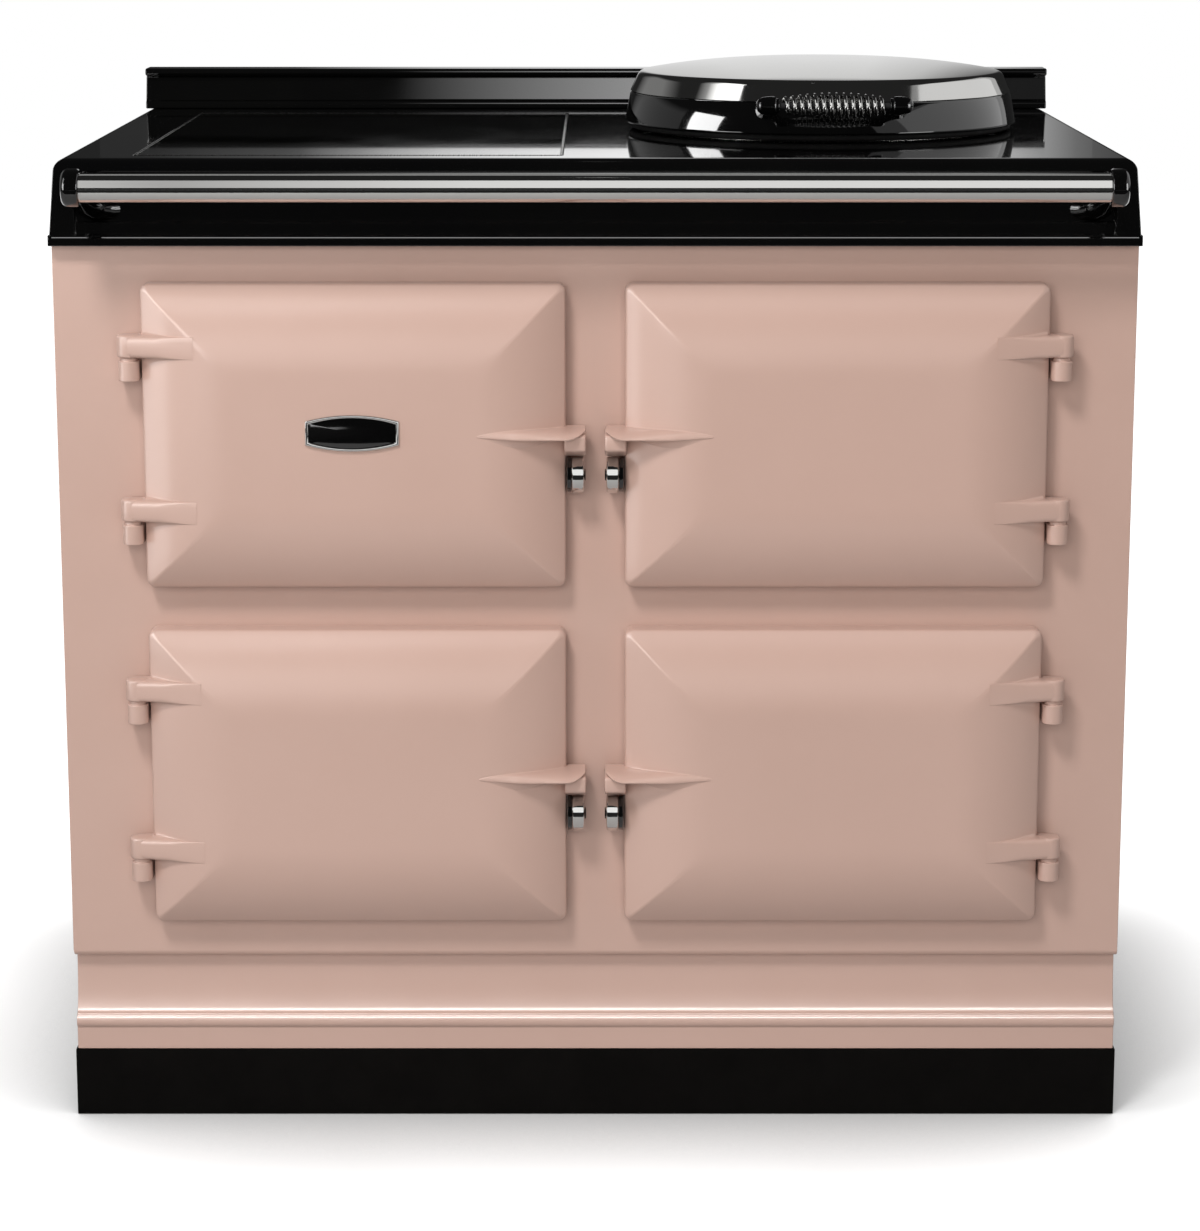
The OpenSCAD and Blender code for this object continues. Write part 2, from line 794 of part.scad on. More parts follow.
cavity_in = 55;
module door_casting() {
    color([0.76, 0.64, 0.58]) difference() {
        union() {
            pillow(door_w, door_h);
            for (z = arm_heights) {
                translate([0, 0, z]) hinge_arm();
            }
            catch_lug();
        }
        slab_y(rim_y + 5, 0) square([door_w - 2 * door_wall, door_h - 2 * door_wall], center = true);
        slab_y(crown_y + 9, rim_y + 6) {
            square([door_w - 2 * cavity_in, door_h - 2 * cavity_in], center = true);
        }
        for (z = arm_heights) {
            translate([eye_x, -hinge_front, z - arm_h / 2 - 1]) cylinder(h = pin_reach + 1, r = hinge_pin_r + run);
        }
    }
}

// Puts a piece of a right-hand door in its place, mirrored for a left-hand door
module hung(side, upper) {
    placed() translate(door_centre(side, upper)) mirror([side < 0 ? 1 : 0, 0, 0]) children();
}

module door_upper_left() {
    hung(-1, true) door_casting();
}

module door_upper_right() {
    hung(1, true) door_casting();
}

module door_lower_left() {
    hung(-1, false) door_casting();
}

module door_lower_right() {
    hung(1, false) door_casting();
}

// The inner panel closes the back of the casting, and its pan plugs the oven's mouth
pan_wall = 2;
plug_w = open_w - 2 * plug_gap;
plug_h = open_h - 2 * plug_gap;
flange_y = -door_seal - 4;
module inner_panel(plug) {
    w = door_w - 2 * door_wall - 2 * seat;
    h = door_h - 2 * door_wall - 2 * seat;
    color([0.62, 0.63, 0.64]) difference() {
        union() {
            slab_y(flange_y, -door_seal) square([w, h], center = true);
            if (plug) {
                slab_y(flange_y, plug_d) round_rect(plug_w, plug_h, 10);
            }
        }
        if (plug) {
            slab_y(flange_y - 1, plug_d - pan_wall) {
                square([plug_w - 2 * 6, plug_h - 2 * 6], center = true);
            }
        }
    }
}

module inner_upper_left() {
    hung(-1, true) inner_panel(false);
}

module inner_upper_right() {
    hung(1, true) inner_panel(true);
}

module inner_lower_left() {
    hung(-1, false) inner_panel(true);
}

module inner_lower_right() {
    hung(1, false) inner_panel(true);
}

// Insulation that fills the pan and the hollow of the casting
module door_pad() {
    color([0.8, 0.77, 0.68]) slab_y(rim_y + 5 + seat, plug_d - pan_wall - seat) {
        square([plug_w - 2 * 6 - 2 * seat, plug_h - 2 * 6 - 2 * seat], center = true);
    }
}

module pad_upper_right() {
    hung(1, true) door_pad();
}

module pad_lower_left() {
    hung(-1, false) door_pad();
}

module pad_lower_right() {
    hung(1, false) door_pad();
}

// A plain barrel-shaped badge, with no letters on it
badge_w = 85;
badge_h = 33.5;
badge_t = 3;
badge_up = 8;
module door_badge() {
    arch = 5.75;
    r = (badge_w * badge_w / 4 + arch * arch) / (2 * arch);
    color([0.03, 0.03, 0.03]) hung(-1, true) translate([0, 0, badge_up]) slab_y(crown_y - badge_t, crown_y) {
        intersection() {
            square([badge_w, badge_h], center = true);
            translate([0, r - badge_h / 2]) circle(r, $fn = 200);
            translate([0, badge_h / 2 - r]) circle(r, $fn = 200);
        }
    }
}

// ---------- Ovens ----------

oven_out_w = open_w + 2 * oven_wall;
oven_out_h = open_h + 2 * oven_wall;
oven_back = inner_y + oven_d;
runner_t = 6;
module oven(side, upper) {
    c = door_centre(side, upper);
    color([0.2, 0.2, 0.21]) placed() translate([c[0], 0, c[2]]) {
        difference() {
            slab_y(inner_y, oven_back + oven_wall) square([oven_out_w, oven_out_h], center = true);
            slab_y(inner_y - 1, oven_back) round_rect(open_w, open_h, 10);
        }
        for (s = [-1, 1]) {
            translate([s * (open_w / 2 - runner_w / 2 + bite / 2), 0, -open_h / 2 + runner_z - runner_t / 2]) {
                slab_y(inner_y + 20, oven_back + bite) square([runner_w + bite, runner_t], center = true);
            }
        }
    }
}

module roasting_oven() {
    oven(1, true);
}

module baking_oven() {
    oven(1, false);
}

module simmering_oven() {
    oven(-1, false);
}

// A wire shelf lies on the runners, and its front stands clear of the closed door
module shelf(side, upper) {
    c = door_centre(side, upper);
    y1 = oven_back - 5;
    y0 = y1 - shelf_d;
    x = open_w / 2 - runner_w / 2;
    bars = 12;
    color([0.7, 0.7, 0.71]) placed() {
        translate([c[0], 0, c[2] - open_h / 2 + runner_z + wire_r + seat]) {
            for (s = [-1, 1]) {
                translate([s * x, 0, 0]) rotate([0, 22.5, 0]) rod_y(y0, y1, wire_r, $fn = 8);
            }
            for (y = [y0 + 4, (y0 + y1) / 2, y1 - 4]) {
                translate([0, y, 0]) rotate([22.5, 0, 0]) rod_x(-x, x, wire_r - 0.3, $fn = 8);
            }
            for (i = [1:bars - 1]) {
                translate([-x + 2 * x * i / bars, 0, 0]) rotate([0, 22.5, 0]) {
                    rod_y(y0 + 3, y1 - 3, wire_r - 0.6, $fn = 8);
                }
            }
        }
    }
}

module shelf_roasting() {
    shelf(1, true);
}

module shelf_baking() {
    shelf(1, false);
}

module shelf_simmering() {
    shelf(-1, false);
}

// Rod elements: a loop over each oven and two rings under the hotplate
element_r = 4;
element_x = 100;
element_start = 60;
element_rings = [60, 120];
module oven_element() {
    y0 = inner_y + element_start;
    z = oven_out_h / 2 + seat + element_r;
    for (s = [-1, 1]) {
        translate([s * element_x, 0, z]) rod_y(y0, oven_back, element_r, $fn = 12);
    }
    translate([0, y0, z]) rod_x(-element_x - element_r, element_x + element_r, element_r, $fn = 12);
}

module heating_elements() {
    color([0.3, 0.28, 0.27]) placed() {
        for (c = [door_centre(1, true), door_centre(1, false), door_centre(-1, false)]) {
            translate([c[0], 0, c[2]]) oven_element();
        }
        translate([lid_x, lid_y, hob_top - plate_t - seat - element_r]) for (r = element_rings) {
            rotate_extrude() translate([r, 0]) circle(element_r);
        }
    }
}

// Mineral wool fills the casing round the ovens and the control box
module oven_insulation() {
    half = side_x - sheet_t - seat;
    slot = 2 * element_r + 2 * seat;
    color([0.8, 0.77, 0.68]) placed() difference() {
        block([-half, cove_depth + 8 + seat, plinth_h + base_t + seat], [half, back_y - seat, hob_z - 5]);
        for (side = [-1, 1], upper = [false, true]) {
            c = door_centre(side, upper);
            if (side > 0 || !upper) {
                translate([c[0], 0, c[2] + slot / 2]) slab_y(0, oven_back + oven_wall + seat) {
                    square([oven_out_w + 2 * seat, oven_out_h + 2 * seat + slot], center = true);
                }
            } else {
                translate([c[0], 0, c[2]]) slab_y(0, inner_y + control_d + seat) {
                    square([open_w + 2 * pan_wall + 2 * seat, open_h + 2 * pan_wall + 2 * seat], center = true);
                }
            }
        }
        translate([gland_x, 0, gland_z]) rod_y(back_y - 10, back_y + 1, gland_r + 7);
    }
}

// ---------- Controls behind the upper left door ----------

module control_box() {
    c = door_centre(-1, true);
    color([0.55, 0.56, 0.57]) placed() translate([c[0], 0, c[2]]) difference() {
        slab_y(inner_y, inner_y + control_d) {
            square([open_w + 2 * pan_wall, open_h + 2 * pan_wall], center = true);
        }
        slab_y(inner_y - 1, inner_y + control_d - pan_wall) square([open_w, open_h], center = true);
    }
}

fascia_t = 3;
knob_count = 4;
knob_z = -20;
function knob_x(i) = (i - (knob_count - 1) / 2) * knob_pitch;

module control_fascia() {
    c = door_centre(-1, true);
    lamp_r = 3;
    color([0.08, 0.08, 0.085]) placed() translate([c[0], 0, c[2]]) difference() {
        union() {
            slab_y(fascia_back, fascia_back + fascia_t) {
                square([open_w - 2 * seat, open_h - 2 * seat], center = true);
            }
            for (i = [0:knob_count - 1]) {
                translate([knob_x(i), 0, knob_z + 50]) rod_y(fascia_back - 2, fascia_back + bite, lamp_r);
            }
        }
        for (i = [0:knob_count - 1]) {
            translate([knob_x(i), 0, knob_z]) {
                rod_y(fascia_back - 1, fascia_back + fascia_t + 1, shaft_r + run);
            }
        }
    }
}

module knob(i) {
    c = door_centre(-1, true);
    y1 = fascia_back - seat;
    y0 = y1 - knob_l;
    color([0.75, 0.75, 0.74]) placed() translate([c[0] + knob_x(i), 0, c[2] + knob_z]) {
        rod_y(y1 - 6, y1, knob_r);
        rod_y(y0, y1 - 5, knob_r - 4);
        block([-1.5, y0 - 1.5, 2], [1.5, y0 + bite, knob_r - 5]);
        rod_y(y1 - bite, fascia_back + fascia_t + 14, shaft_r);
    }
}

module knob_1() {
    knob(0);
}

module knob_2() {
    knob(1);
}

module knob_3() {
    knob(2);
}

module knob_4() {
    knob(3);
}

// ---------- Lid ----------

// Outer radius of the band at a height above its bottom edge
function band_r(z) = lid_r - band_lean * z / band_h;

// Height of the bevels along the edges of the band
band_edge = 1.5;
module lid_band() {
    inner = band_top_r - band_wall;
    color([0.02, 0.02, 0.02]) placed() translate([lid_x, lid_y, lid_bottom]) rotate_extrude($fn = 128) {
        polygon([[inner, 0], [lid_r - band_edge, 0], [band_r(band_edge), band_edge],
                 [band_r(band_h - band_edge), band_h - band_edge],
                 [band_top_r - band_edge, band_h], [inner, band_h]]);
    }
}

// Height of the crowned top at a radius, above the middle of its sphere
function crown_z(r, sphere_r) = sqrt(sphere_r * sphere_r - r * r) - (sphere_r - crown_h);

crown_steps = 8;
module lid_cap() {
    outer = [for (i = [crown_steps:-1:0]) let (r = cap_r * i / crown_steps)
        [r, bevel_h + crown_z(r, crown_sphere_r)]];
    inner_cap_r = cap_r - cap_wall;
    inner = [for (i = [0:crown_steps]) let (r = inner_cap_r * i / crown_steps)
        [r, bevel_h - cap_wall + crown_z(r, crown_sphere_r)]];
    color([0.82, 0.82, 0.82]) placed() translate([lid_x, lid_y, band_top]) rotate_extrude($fn = 128) {
        polygon(concat([[band_top_r - cap_wall, seat], [band_top_r, seat]], outer, inner));
    }
}

// The liner is a shallow pan, set up inside the band by a small step
liner_h = 20;
liner_wall = 3;
liner_up = 1;
module lid_liner() {
    r = band_top_r - band_wall - seat;
    color([0.6, 0.61, 0.62]) placed() translate([lid_x, lid_y, lid_bottom + liner_up]) difference() {
        cylinder(h = liner_h, r = r, $fn = 128);
        translate([0, 0, liner_wall]) cylinder(h = liner_h, r = r - liner_wall, $fn = 128);
    }
}

// The space that the lid takes, with a seat's gap all round, cut from what is fixed to its side
module lid_space() {
    translate([lid_x, lid_y, lid_bottom]) {
        cylinder(h = band_h, r1 = lid_r + seat, r2 = band_top_r + seat, $fn = 128);
        translate([0, 0, -10]) cylinder(h = 10 + bite / 2, r = lid_r + seat, $fn = 128);
        translate([0, 0, band_h - bite / 2]) cylinder(h = 60, r = band_top_r + seat, $fn = 128);
    }
}

arm_eye_r = lid_pin_r + 5;
module lid_arm() {
    half = ear_gap / 2 - 0.5;
    color([0.03, 0.03, 0.03]) placed() difference() {
        union() {
            block([lid_x - half, lid_y + lid_r - 12, lid_bottom + 2],
                  [lid_x + half, lid_axis_y, lid_axis_z + 2]);
            translate([lid_x, lid_axis_y, lid_axis_z]) rod_x(-half, half, arm_eye_r);
        }
        lid_space();
        translate([lid_x, lid_axis_y, lid_axis_z]) rod_x(-half - 1, half + 1, lid_pin_r + run);
    }
}

// The coil runs straight for one wire diameter at each end, up to the posts
post_x = coil_len / 2 + wire_d;
post_front = 12;
post_up = 9;
module lid_handle_posts() {
    color([0.02, 0.02, 0.02]) placed() difference() {
        for (s = [-1, 1]) {
            x0 = lid_x + (s > 0 ? post_x : -post_x - post_w);
            slab_x(x0, x0 + post_w) {
                translate([handle_y, handle_z + post_up - post_front]) circle(post_front);
                translate([handle_y, handle_z + post_up - post_h]) square([lid_r / 4, post_h]);
            }
        }
        lid_space();
    }
}

module lid_handle_rod() {
    color([0.5, 0.5, 0.5]) placed() translate([lid_x, handle_y, handle_z]) rod_x(-post_x, post_x, rod_r);
}

ring_steps = 8;
ring_sides = 6;
coil_n = ring_steps * coil_turns;
coil_r_mid = (coil_d_mid - wire_d) / 2;
coil_r_end = (coil_d_end - wire_d) / 2;

// Radius of the barrel-shaped coil, u runs from -1 to 1 along it
function barrel(u) = coil_r_end + (coil_r_mid - coil_r_end) * (1 - u * u);
function coil_point(i) =
    let (u = 2 * i / coil_n - 1, a = 360 * i / ring_steps, r = barrel(u))
    [u * coil_len / 2, r * cos(a), r * sin(a)];

// Centre line: the turns, with a straight stretch at each end
coil_path = concat(
    [coil_point(0) - [wire_d, 0, 0]],
    [for (i = [0:coil_n]) coil_point(i)],
    [coil_point(coil_n) + [wire_d, 0, 0]]
);
function unit(v) = v / norm(v);
function path_tangent(i) =
    i == 0 || i == len(coil_path) - 1 ? [1, 0, 0] : unit(coil_path[i + 1] - coil_path[i - 1]);
function ring_points(i) =
    let (
        c = coil_path[i],
        t = path_tangent(i),
        out = unit([0, c[1], c[2]]),
        n = unit(out - (out * t) * t),
        b = cross(t, n)
    )
    [for (k = [0:ring_sides - 1]) let (a = 360 * k / ring_sides) c + wire_d / 2 * (n * cos(a) + b * sin(a))];

module lid_handle_coil() {
    rings = len(coil_path);
    points = [for (i = [0:rings - 1]) each ring_points(i)];
    sides = [for (i = [0:rings - 2], k = [0:ring_sides - 1])
        let (a = i * ring_sides + k, b = i * ring_sides + (k + 1) % ring_sides)
        each [[a, b, b + ring_sides], [a, b + ring_sides, a + ring_sides]]];
    start = [for (k = [1:ring_sides - 2]) [0, k + 1, k]];
    last = (rings - 1) * ring_sides;
    end = [for (k = [1:ring_sides - 2]) [last, last + k, last + k + 1]];
    // Least distance between the centre lines of two turns, less the wire's diameter
    gaps = [for (i = [1:coil_n - ring_steps], j = [5:ring_steps])
        norm(coil_path[i + j] - coil_path[i]) - wire_d];
    echo(coil_least_gap = min(gaps));
    color([0.75, 0.75, 0.74]) placed() translate([lid_x, handle_y, handle_z]) {
        polyhedron(points, concat(sides, start, end));
    }
}

plinth();
levelling_feet();
base_frame();
base_moulding();
front_plate();
side_panel_left();
side_panel_right();
back_panel();
hob_casing();
upstand();
hob_glass();
glass_trim();
induction_coils();
induction_tray();
hotplate();
hotplate_ring();
heating_elements();
lid_hinge_bracket();
lid_hinge_pin();
hand_rail();
rail_brackets();
hinge_blocks();
catch_brackets();
roasting_oven();
baking_oven();
simmering_oven();
oven_insulation();
control_fascia();
control_box();
cable_gland();
door_upper_left();
door_upper_right();
door_lower_left();
door_lower_right();
inner_upper_left();
inner_upper_right();
inner_lower_left();
inner_lower_right();
pad_upper_right();
pad_lower_left();
pad_lower_right();
door_badge();
lid_band();
lid_cap();
lid_liner();
lid_arm();
lid_handle_posts();
lid_handle_rod();
lid_handle_coil();
shelf_roasting();
shelf_baking();
shelf_simmering();
knob_1();
knob_2();
knob_3();
knob_4();
roller_upper_left();
roller_upper_right();
roller_lower_left();
roller_lower_right();
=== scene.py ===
# %% [markdown]
# # A cast iron range cooker
# The object is a free-standing range cooker: four enamelled oven doors with bulging, bevelled
# fronts, a black hob with a glass cooking panel and one lidded hotplate, and a bright hand rail.
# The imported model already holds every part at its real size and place. This lesson dresses it:
# it models the fine castings, turns the round parts, and gives each surface its finish.

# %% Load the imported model
import bpy
import bmesh
import json
import math
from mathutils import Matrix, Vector


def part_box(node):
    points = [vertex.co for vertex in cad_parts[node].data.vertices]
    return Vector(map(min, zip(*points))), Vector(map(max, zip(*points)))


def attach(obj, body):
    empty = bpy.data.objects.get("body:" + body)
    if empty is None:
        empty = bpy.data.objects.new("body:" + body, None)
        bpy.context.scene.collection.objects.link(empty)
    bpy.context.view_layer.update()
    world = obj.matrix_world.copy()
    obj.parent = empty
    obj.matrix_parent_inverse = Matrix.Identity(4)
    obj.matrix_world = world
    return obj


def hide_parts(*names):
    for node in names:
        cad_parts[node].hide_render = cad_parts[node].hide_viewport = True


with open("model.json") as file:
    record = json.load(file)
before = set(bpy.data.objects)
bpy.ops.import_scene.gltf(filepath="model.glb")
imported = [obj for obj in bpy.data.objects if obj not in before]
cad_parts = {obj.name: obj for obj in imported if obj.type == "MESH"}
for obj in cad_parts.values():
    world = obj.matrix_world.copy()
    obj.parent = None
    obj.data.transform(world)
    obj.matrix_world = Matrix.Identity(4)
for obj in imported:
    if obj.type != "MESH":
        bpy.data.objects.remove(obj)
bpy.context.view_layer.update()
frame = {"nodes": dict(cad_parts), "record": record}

# %% [markdown]
# ## Sizes
# Workshop drawings give millimetres, Blender works in metres. All sizes here are written in
# millimetres and turned into metres in one place, when a mesh is made. Places come from the
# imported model's own boxes, so that a dressed piece always lies where its solid lies.

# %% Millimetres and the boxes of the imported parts
MM = 0.001


def span(node):
    """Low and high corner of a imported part, in millimetres."""
    low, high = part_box(node)
    return low / MM, high / MM


face_y = span("front_plate")[0].y
print("face of the front plate at y =", round(face_y, 1), "mm")

# %% [markdown]
# ## The camera
# The photograph was taken with a long lens from straight in front, a little above the hob, by a
# level camera with a strong vertical shift. Here the camera is pitched down instead and shifted
# only a little, so that other views stay usable. The cooker's width sets its distance.

# %% Camera
PHOTO_LONG_SIDE = 1231
FOCAL_LENGTH = 3407
SHIFT_DOWN = 72
CAMERA_PITCH = 11.28
CAMERA_PLACE = (4.3, -3368.6, 1170)


def make_camera():
    data = bpy.data.cameras.new("studio_camera")
    data.sensor_width = 36
    data.lens = FOCAL_LENGTH / PHOTO_LONG_SIDE * data.sensor_width
    data.shift_y = -SHIFT_DOWN / PHOTO_LONG_SIDE
    camera = bpy.data.objects.new("studio_camera", data)
    camera.location = Vector(CAMERA_PLACE) * MM
    camera.rotation_euler = (math.radians(90 - CAMERA_PITCH), 0, 0)
    bpy.context.scene.collection.objects.link(camera)
    bpy.context.scene.camera = camera
    return data


print("lens", round(make_camera().lens, 2), "mm")

# %% [markdown]
# ## Building with nodes
# Every finish below is a small network of shader nodes. These helpers add a node, wire it and
# set its values, so that each material can be read as a short recipe.

# %% Node helpers
WHITE = (1, 1, 1, 1)


def new_finish(name):
    """An empty material and its node tree, ready for a recipe."""
    finish = bpy.data.materials.new(name)
    finish.use_nodes = True
    finish.node_tree.nodes.clear()
    return finish, finish.node_tree


def feed(tree, socket, value):
    """Wires another node's output into an input, or writes a fixed value there."""
    if isinstance(value, bpy.types.NodeSocket):
        tree.links.new(value, socket)
    else:
        socket.default_value = value


def add(tree, kind, **values):
    """Adds a node and feeds its inputs by name; a name with _ before it is a property."""
    node = tree.nodes.new("ShaderNode" + kind)
    for key, value in values.items():
        if key.startswith("_"):
            setattr(node, key[1:], value)
        else:
            feed(tree, node.inputs[key.replace("_", " ")], value)
    return node


def feed_all(tree, node, values):
    """Feeds a node's inputs in their order."""
    for socket, value in zip(node.inputs, values):
        feed(tree, socket, value)
    return node.outputs[0]


def calc(tree, operation, *terms):
    """A Math node; each term is another node's output or a number."""
    return feed_all(tree, add(tree, "Math", _operation=operation), terms)


def mixed(tree, share, first, second):
    """One shader where share is 0, another where it is 1."""
    return feed_all(tree, add(tree, "MixShader"), (share, first.outputs[0], second.outputs[0]))


def own_place(tree):
    """Where a point of the surface lies, in the object's own metres."""
    return add(tree, "TexCoord").outputs["Object"]


def noise(tree, scale, detail=3, stretch=(1, 1, 1)):
    """A soft random pattern; stretch pulls it into streaks."""
    place = add(tree, "Mapping", Vector=own_place(tree), Scale=stretch).outputs["Vector"]
    return add(tree, "TexNoise", Vector=place, Scale=scale, Detail=detail).outputs["Fac"]


def ramp(tree, value, stops):
    """Maps a value from 0 to 1 to colours or greys; stops are (position, colour)."""
    node = add(tree, "ValToRGB", Fac=value)
    while len(node.color_ramp.elements) < len(stops):
        node.color_ramp.elements.new(0.5)
    for element, (position, colour) in zip(node.color_ramp.elements, stops):
        element.position = position
        element.color = (*colour, 1) if isinstance(colour, tuple) else (colour, colour, colour, 1)
    return node.outputs["Color"]


def bump(tree, value, depth, strength=1.0, under=None):
    """Turns a pattern into tiny relief; depth is in millimetres."""
    node = add(tree, "Bump", Strength=strength, Distance=depth * MM, Height=value)
    if under:
        feed(tree, node.inputs["Normal"], under)
    return node.outputs["Normal"]


def close(finish, surface):
    """Wires the end of a recipe to the material's output."""
    add(finish.node_tree, "OutputMaterial", Surface=surface)
    return finish


def shade(finish, colour=None, rough=None, normal=None, **values):
    """Closes a recipe with the main shader; wired inputs come first, fixed ones by name."""
    wired = {"Base_Color": colour, "Roughness": rough, "Normal": normal}
    values.update({key: value for key, value in wired.items() if value})
    return close(finish, add(finish.node_tree, "BsdfPrincipled", **values).outputs["BSDF"])


print("node helpers ready")

# %% [markdown]
# ## Vitreous enamel
# The castings are sprayed with powdered glass and fired. The result is coloured glass about a
# third of a millimetre thick: opaque, very glossy, and never quite flat. A clear coat over a
# softer base gives that depth, a fine noise gives the orange-peel ripple, and a broad noise
# shifts the tone slightly, as the furnace does.

# %% Enamel finishes


def enamel(name, dark, light, ripple, rough_low, rough_high, coat, coat_rough):
    finish, tree = new_finish(name)
    colour = ramp(tree, noise(tree, 5, 4), [(0.3, dark), (0.7, light)])
    rough = ramp(tree, noise(tree, 14, 5), [(0.35, rough_low), (0.65, rough_high)])
    peel = bump(tree, noise(tree, 260, 2), ripple, 0.35)
    waves = bump(tree, noise(tree, 38, 1), ripple * 3, 0.3, under=peel)
    return shade(finish, colour, rough, waves, Coat_Weight=coat, Coat_Roughness=coat_rough,
                 Coat_IOR=1.5, IOR=1.5, Specular_IOR_Level=0.5)


PINK = enamel("pink_enamel", (0.545, 0.366, 0.305), (0.562, 0.379, 0.317), ripple=0.04,
              rough_low=0.34, rough_high=0.42, coat=0.7, coat_rough=0.2)
BLACK = enamel("black_enamel", (0.0008, 0.0008, 0.0009), (0.0016, 0.0016, 0.0015), ripple=0.003,
               rough_low=0.05, rough_high=0.1, coat=1.0, coat_rough=0.03)
print("enamels:", PINK.name, BLACK.name)

# %% [markdown]
# ## Polished metal
# The rail, the lid top, the rollers and the trim are chromium plated steel. Plating is close to
# a mirror, so what sells it is a slight unevenness: faint smudges in the gloss and a very
# shallow waviness from polishing. Knobs and pins are brushed instead: a noise pulled long in
# one direction gives the brush lines.

# %% Metal finishes


def plated(name, tone, rough_low, rough_high):
    finish, tree = new_finish(name)
    colour = ramp(tree, noise(tree, 9, 3), [(0.3, tone), (0.7, tuple(min(1, c * 1.04) for c in tone))])
    rough = ramp(tree, noise(tree, 22, 6), [(0.35, rough_low), (0.7, rough_high)])
    normal = bump(tree, noise(tree, 30, 1), 0.02, 0.25)
    return shade(finish, colour, rough, normal, Metallic=1)


def brushed(name, tone, stretch, rough_low, rough_high, depth=0.02):
    finish, tree = new_finish(name)
    lines = noise(tree, 900, 3, stretch)
    colour = ramp(tree, lines, [(0.3, tuple(c * 0.86 for c in tone)), (0.7, tone)])
    rough = ramp(tree, lines, [(0.3, rough_low), (0.7, rough_high)])
    return shade(finish, colour, rough, bump(tree, lines, depth, 0.4), Metallic=1)


CHROME = plated("chrome_plate", (0.69, 0.685, 0.67), 0.035, 0.09)
BRUSHED = brushed("brushed_steel", (0.62, 0.61, 0.59), (1, 1, 0.03), 0.22, 0.34)
LINER = brushed("aluminised_sheet", (0.56, 0.57, 0.58), (0.04, 1, 1), 0.3, 0.46, 0.03)
WIRE = plated("shelf_wire_plate", (0.6, 0.6, 0.6), 0.14, 0.26)
print("metals:", CHROME.name, BRUSHED.name, LINER.name, WIRE.name)

# %% [markdown]
# ## Raw and hidden metal
# The hotplate is grey cast iron, turned flat on a lathe, so it has fine rings round its own
# centre. The ovens are bare castings with a sandy skin. Folded sheets at the back are zinc
# coated, which crystallises in flakes: a cell pattern gives them.

# %% Iron, zinc and the hidden parts


def cast_skin(name, dark, light, grain, rough):
    finish, tree = new_finish(name)
    colour = ramp(tree, noise(tree, 60, 6), [(0.3, dark), (0.7, light)])
    sand = bump(tree, noise(tree, 700, 3), grain, 0.6)
    return shade(finish, colour, None, sand, Roughness=rough, Metallic=0.35, Specular_IOR_Level=0.4)


def zinc(name):
    finish, tree = new_finish(name)
    flakes = add(tree, "TexVoronoi", Vector=own_place(tree), Scale=70).outputs["Color"]
    colour = ramp(tree, flakes, [(0.1, (0.4, 0.41, 0.42)), (0.9, (0.56, 0.57, 0.58))])
    rough = ramp(tree, flakes, [(0.1, 0.34), (0.9, 0.5)])
    return shade(finish, colour, rough, bump(tree, noise(tree, 120, 2), 0.02, 0.3), Metallic=0.9)


def soft_fibre(name, dark, light):
    finish, tree = new_finish(name)
    strands = noise(tree, 420, 5, (1, 0.3, 1))
    colour = ramp(tree, strands, [(0.3, dark), (0.7, light)])
    return shade(finish, colour, None, bump(tree, strands, 0.8, 0.8), Roughness=0.95)


def lathe_turned(name, centre, dark, light):
    """Bare iron faced on a lathe: fine rings about an upright axis, given in metres."""
    finish, tree = new_finish(name)
    offset = feed_all(tree, add(tree, "VectorMath", _operation="SUBTRACT"), (own_place(tree), (*centre, 0)))
    apart = add(tree, "SeparateXYZ", Vector=offset).outputs
    flat = add(tree, "CombineXYZ", X=apart["X"], Y=apart["Y"]).outputs[0]
    radius = add(tree, "VectorMath", _operation="LENGTH")
    feed(tree, radius.inputs[0], flat)
    rings = add(tree, "TexNoise", _noise_dimensions="1D", W=radius.outputs["Value"], Scale=1400, Detail=2)
    colour = ramp(tree, noise(tree, 25, 5), [(0.3, dark), (0.7, light)])
    rough = ramp(tree, rings.outputs["Fac"], [(0.3, 0.3), (0.7, 0.5)])
    return shade(finish, colour, rough, bump(tree, rings.outputs["Fac"], 0.05, 0.5), Metallic=0.8)


OVEN_IRON = cast_skin("oven_casting", (0.035, 0.035, 0.037), (0.07, 0.07, 0.072), 0.12, 0.62)
ZINC = zinc("zinc_coated_sheet")
hotplate_axis = [(low + high) / 2 for low, high in zip(*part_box("hotplate"))][:2]
LATHE_IRON = lathe_turned("faced_iron", hotplate_axis, (0.09, 0.09, 0.092), (0.15, 0.15, 0.152))
WOOL = soft_fibre("mineral_wool", (0.5, 0.45, 0.34), (0.72, 0.68, 0.56))
COPPER = brushed("copper_winding", (0.72, 0.38, 0.2), (1, 1, 0.1), 0.25, 0.4)
print("raw metals:", OVEN_IRON.name, ZINC.name, WOOL.name, COPPER.name)

# %% [markdown]
# ## Satin black parts
# The plinth is painted sheet with a soft satin sheen and a fine texture. The control panel and
# the cable gland are plastic, a little rougher, with a moulded grain.

# %% Paint and plastic


def satin(name, dark, light, grain, rough_low, rough_high, spec=0.35):
    finish, tree = new_finish(name)
    colour = ramp(tree, noise(tree, 30, 4), [(0.3, dark), (0.7, light)])
    rough = ramp(tree, noise(tree, 90, 3), [(0.3, rough_low), (0.7, rough_high)])
    return shade(finish, colour, rough, bump(tree, noise(tree, 900, 2), grain, 0.5),
                 Specular_IOR_Level=spec)


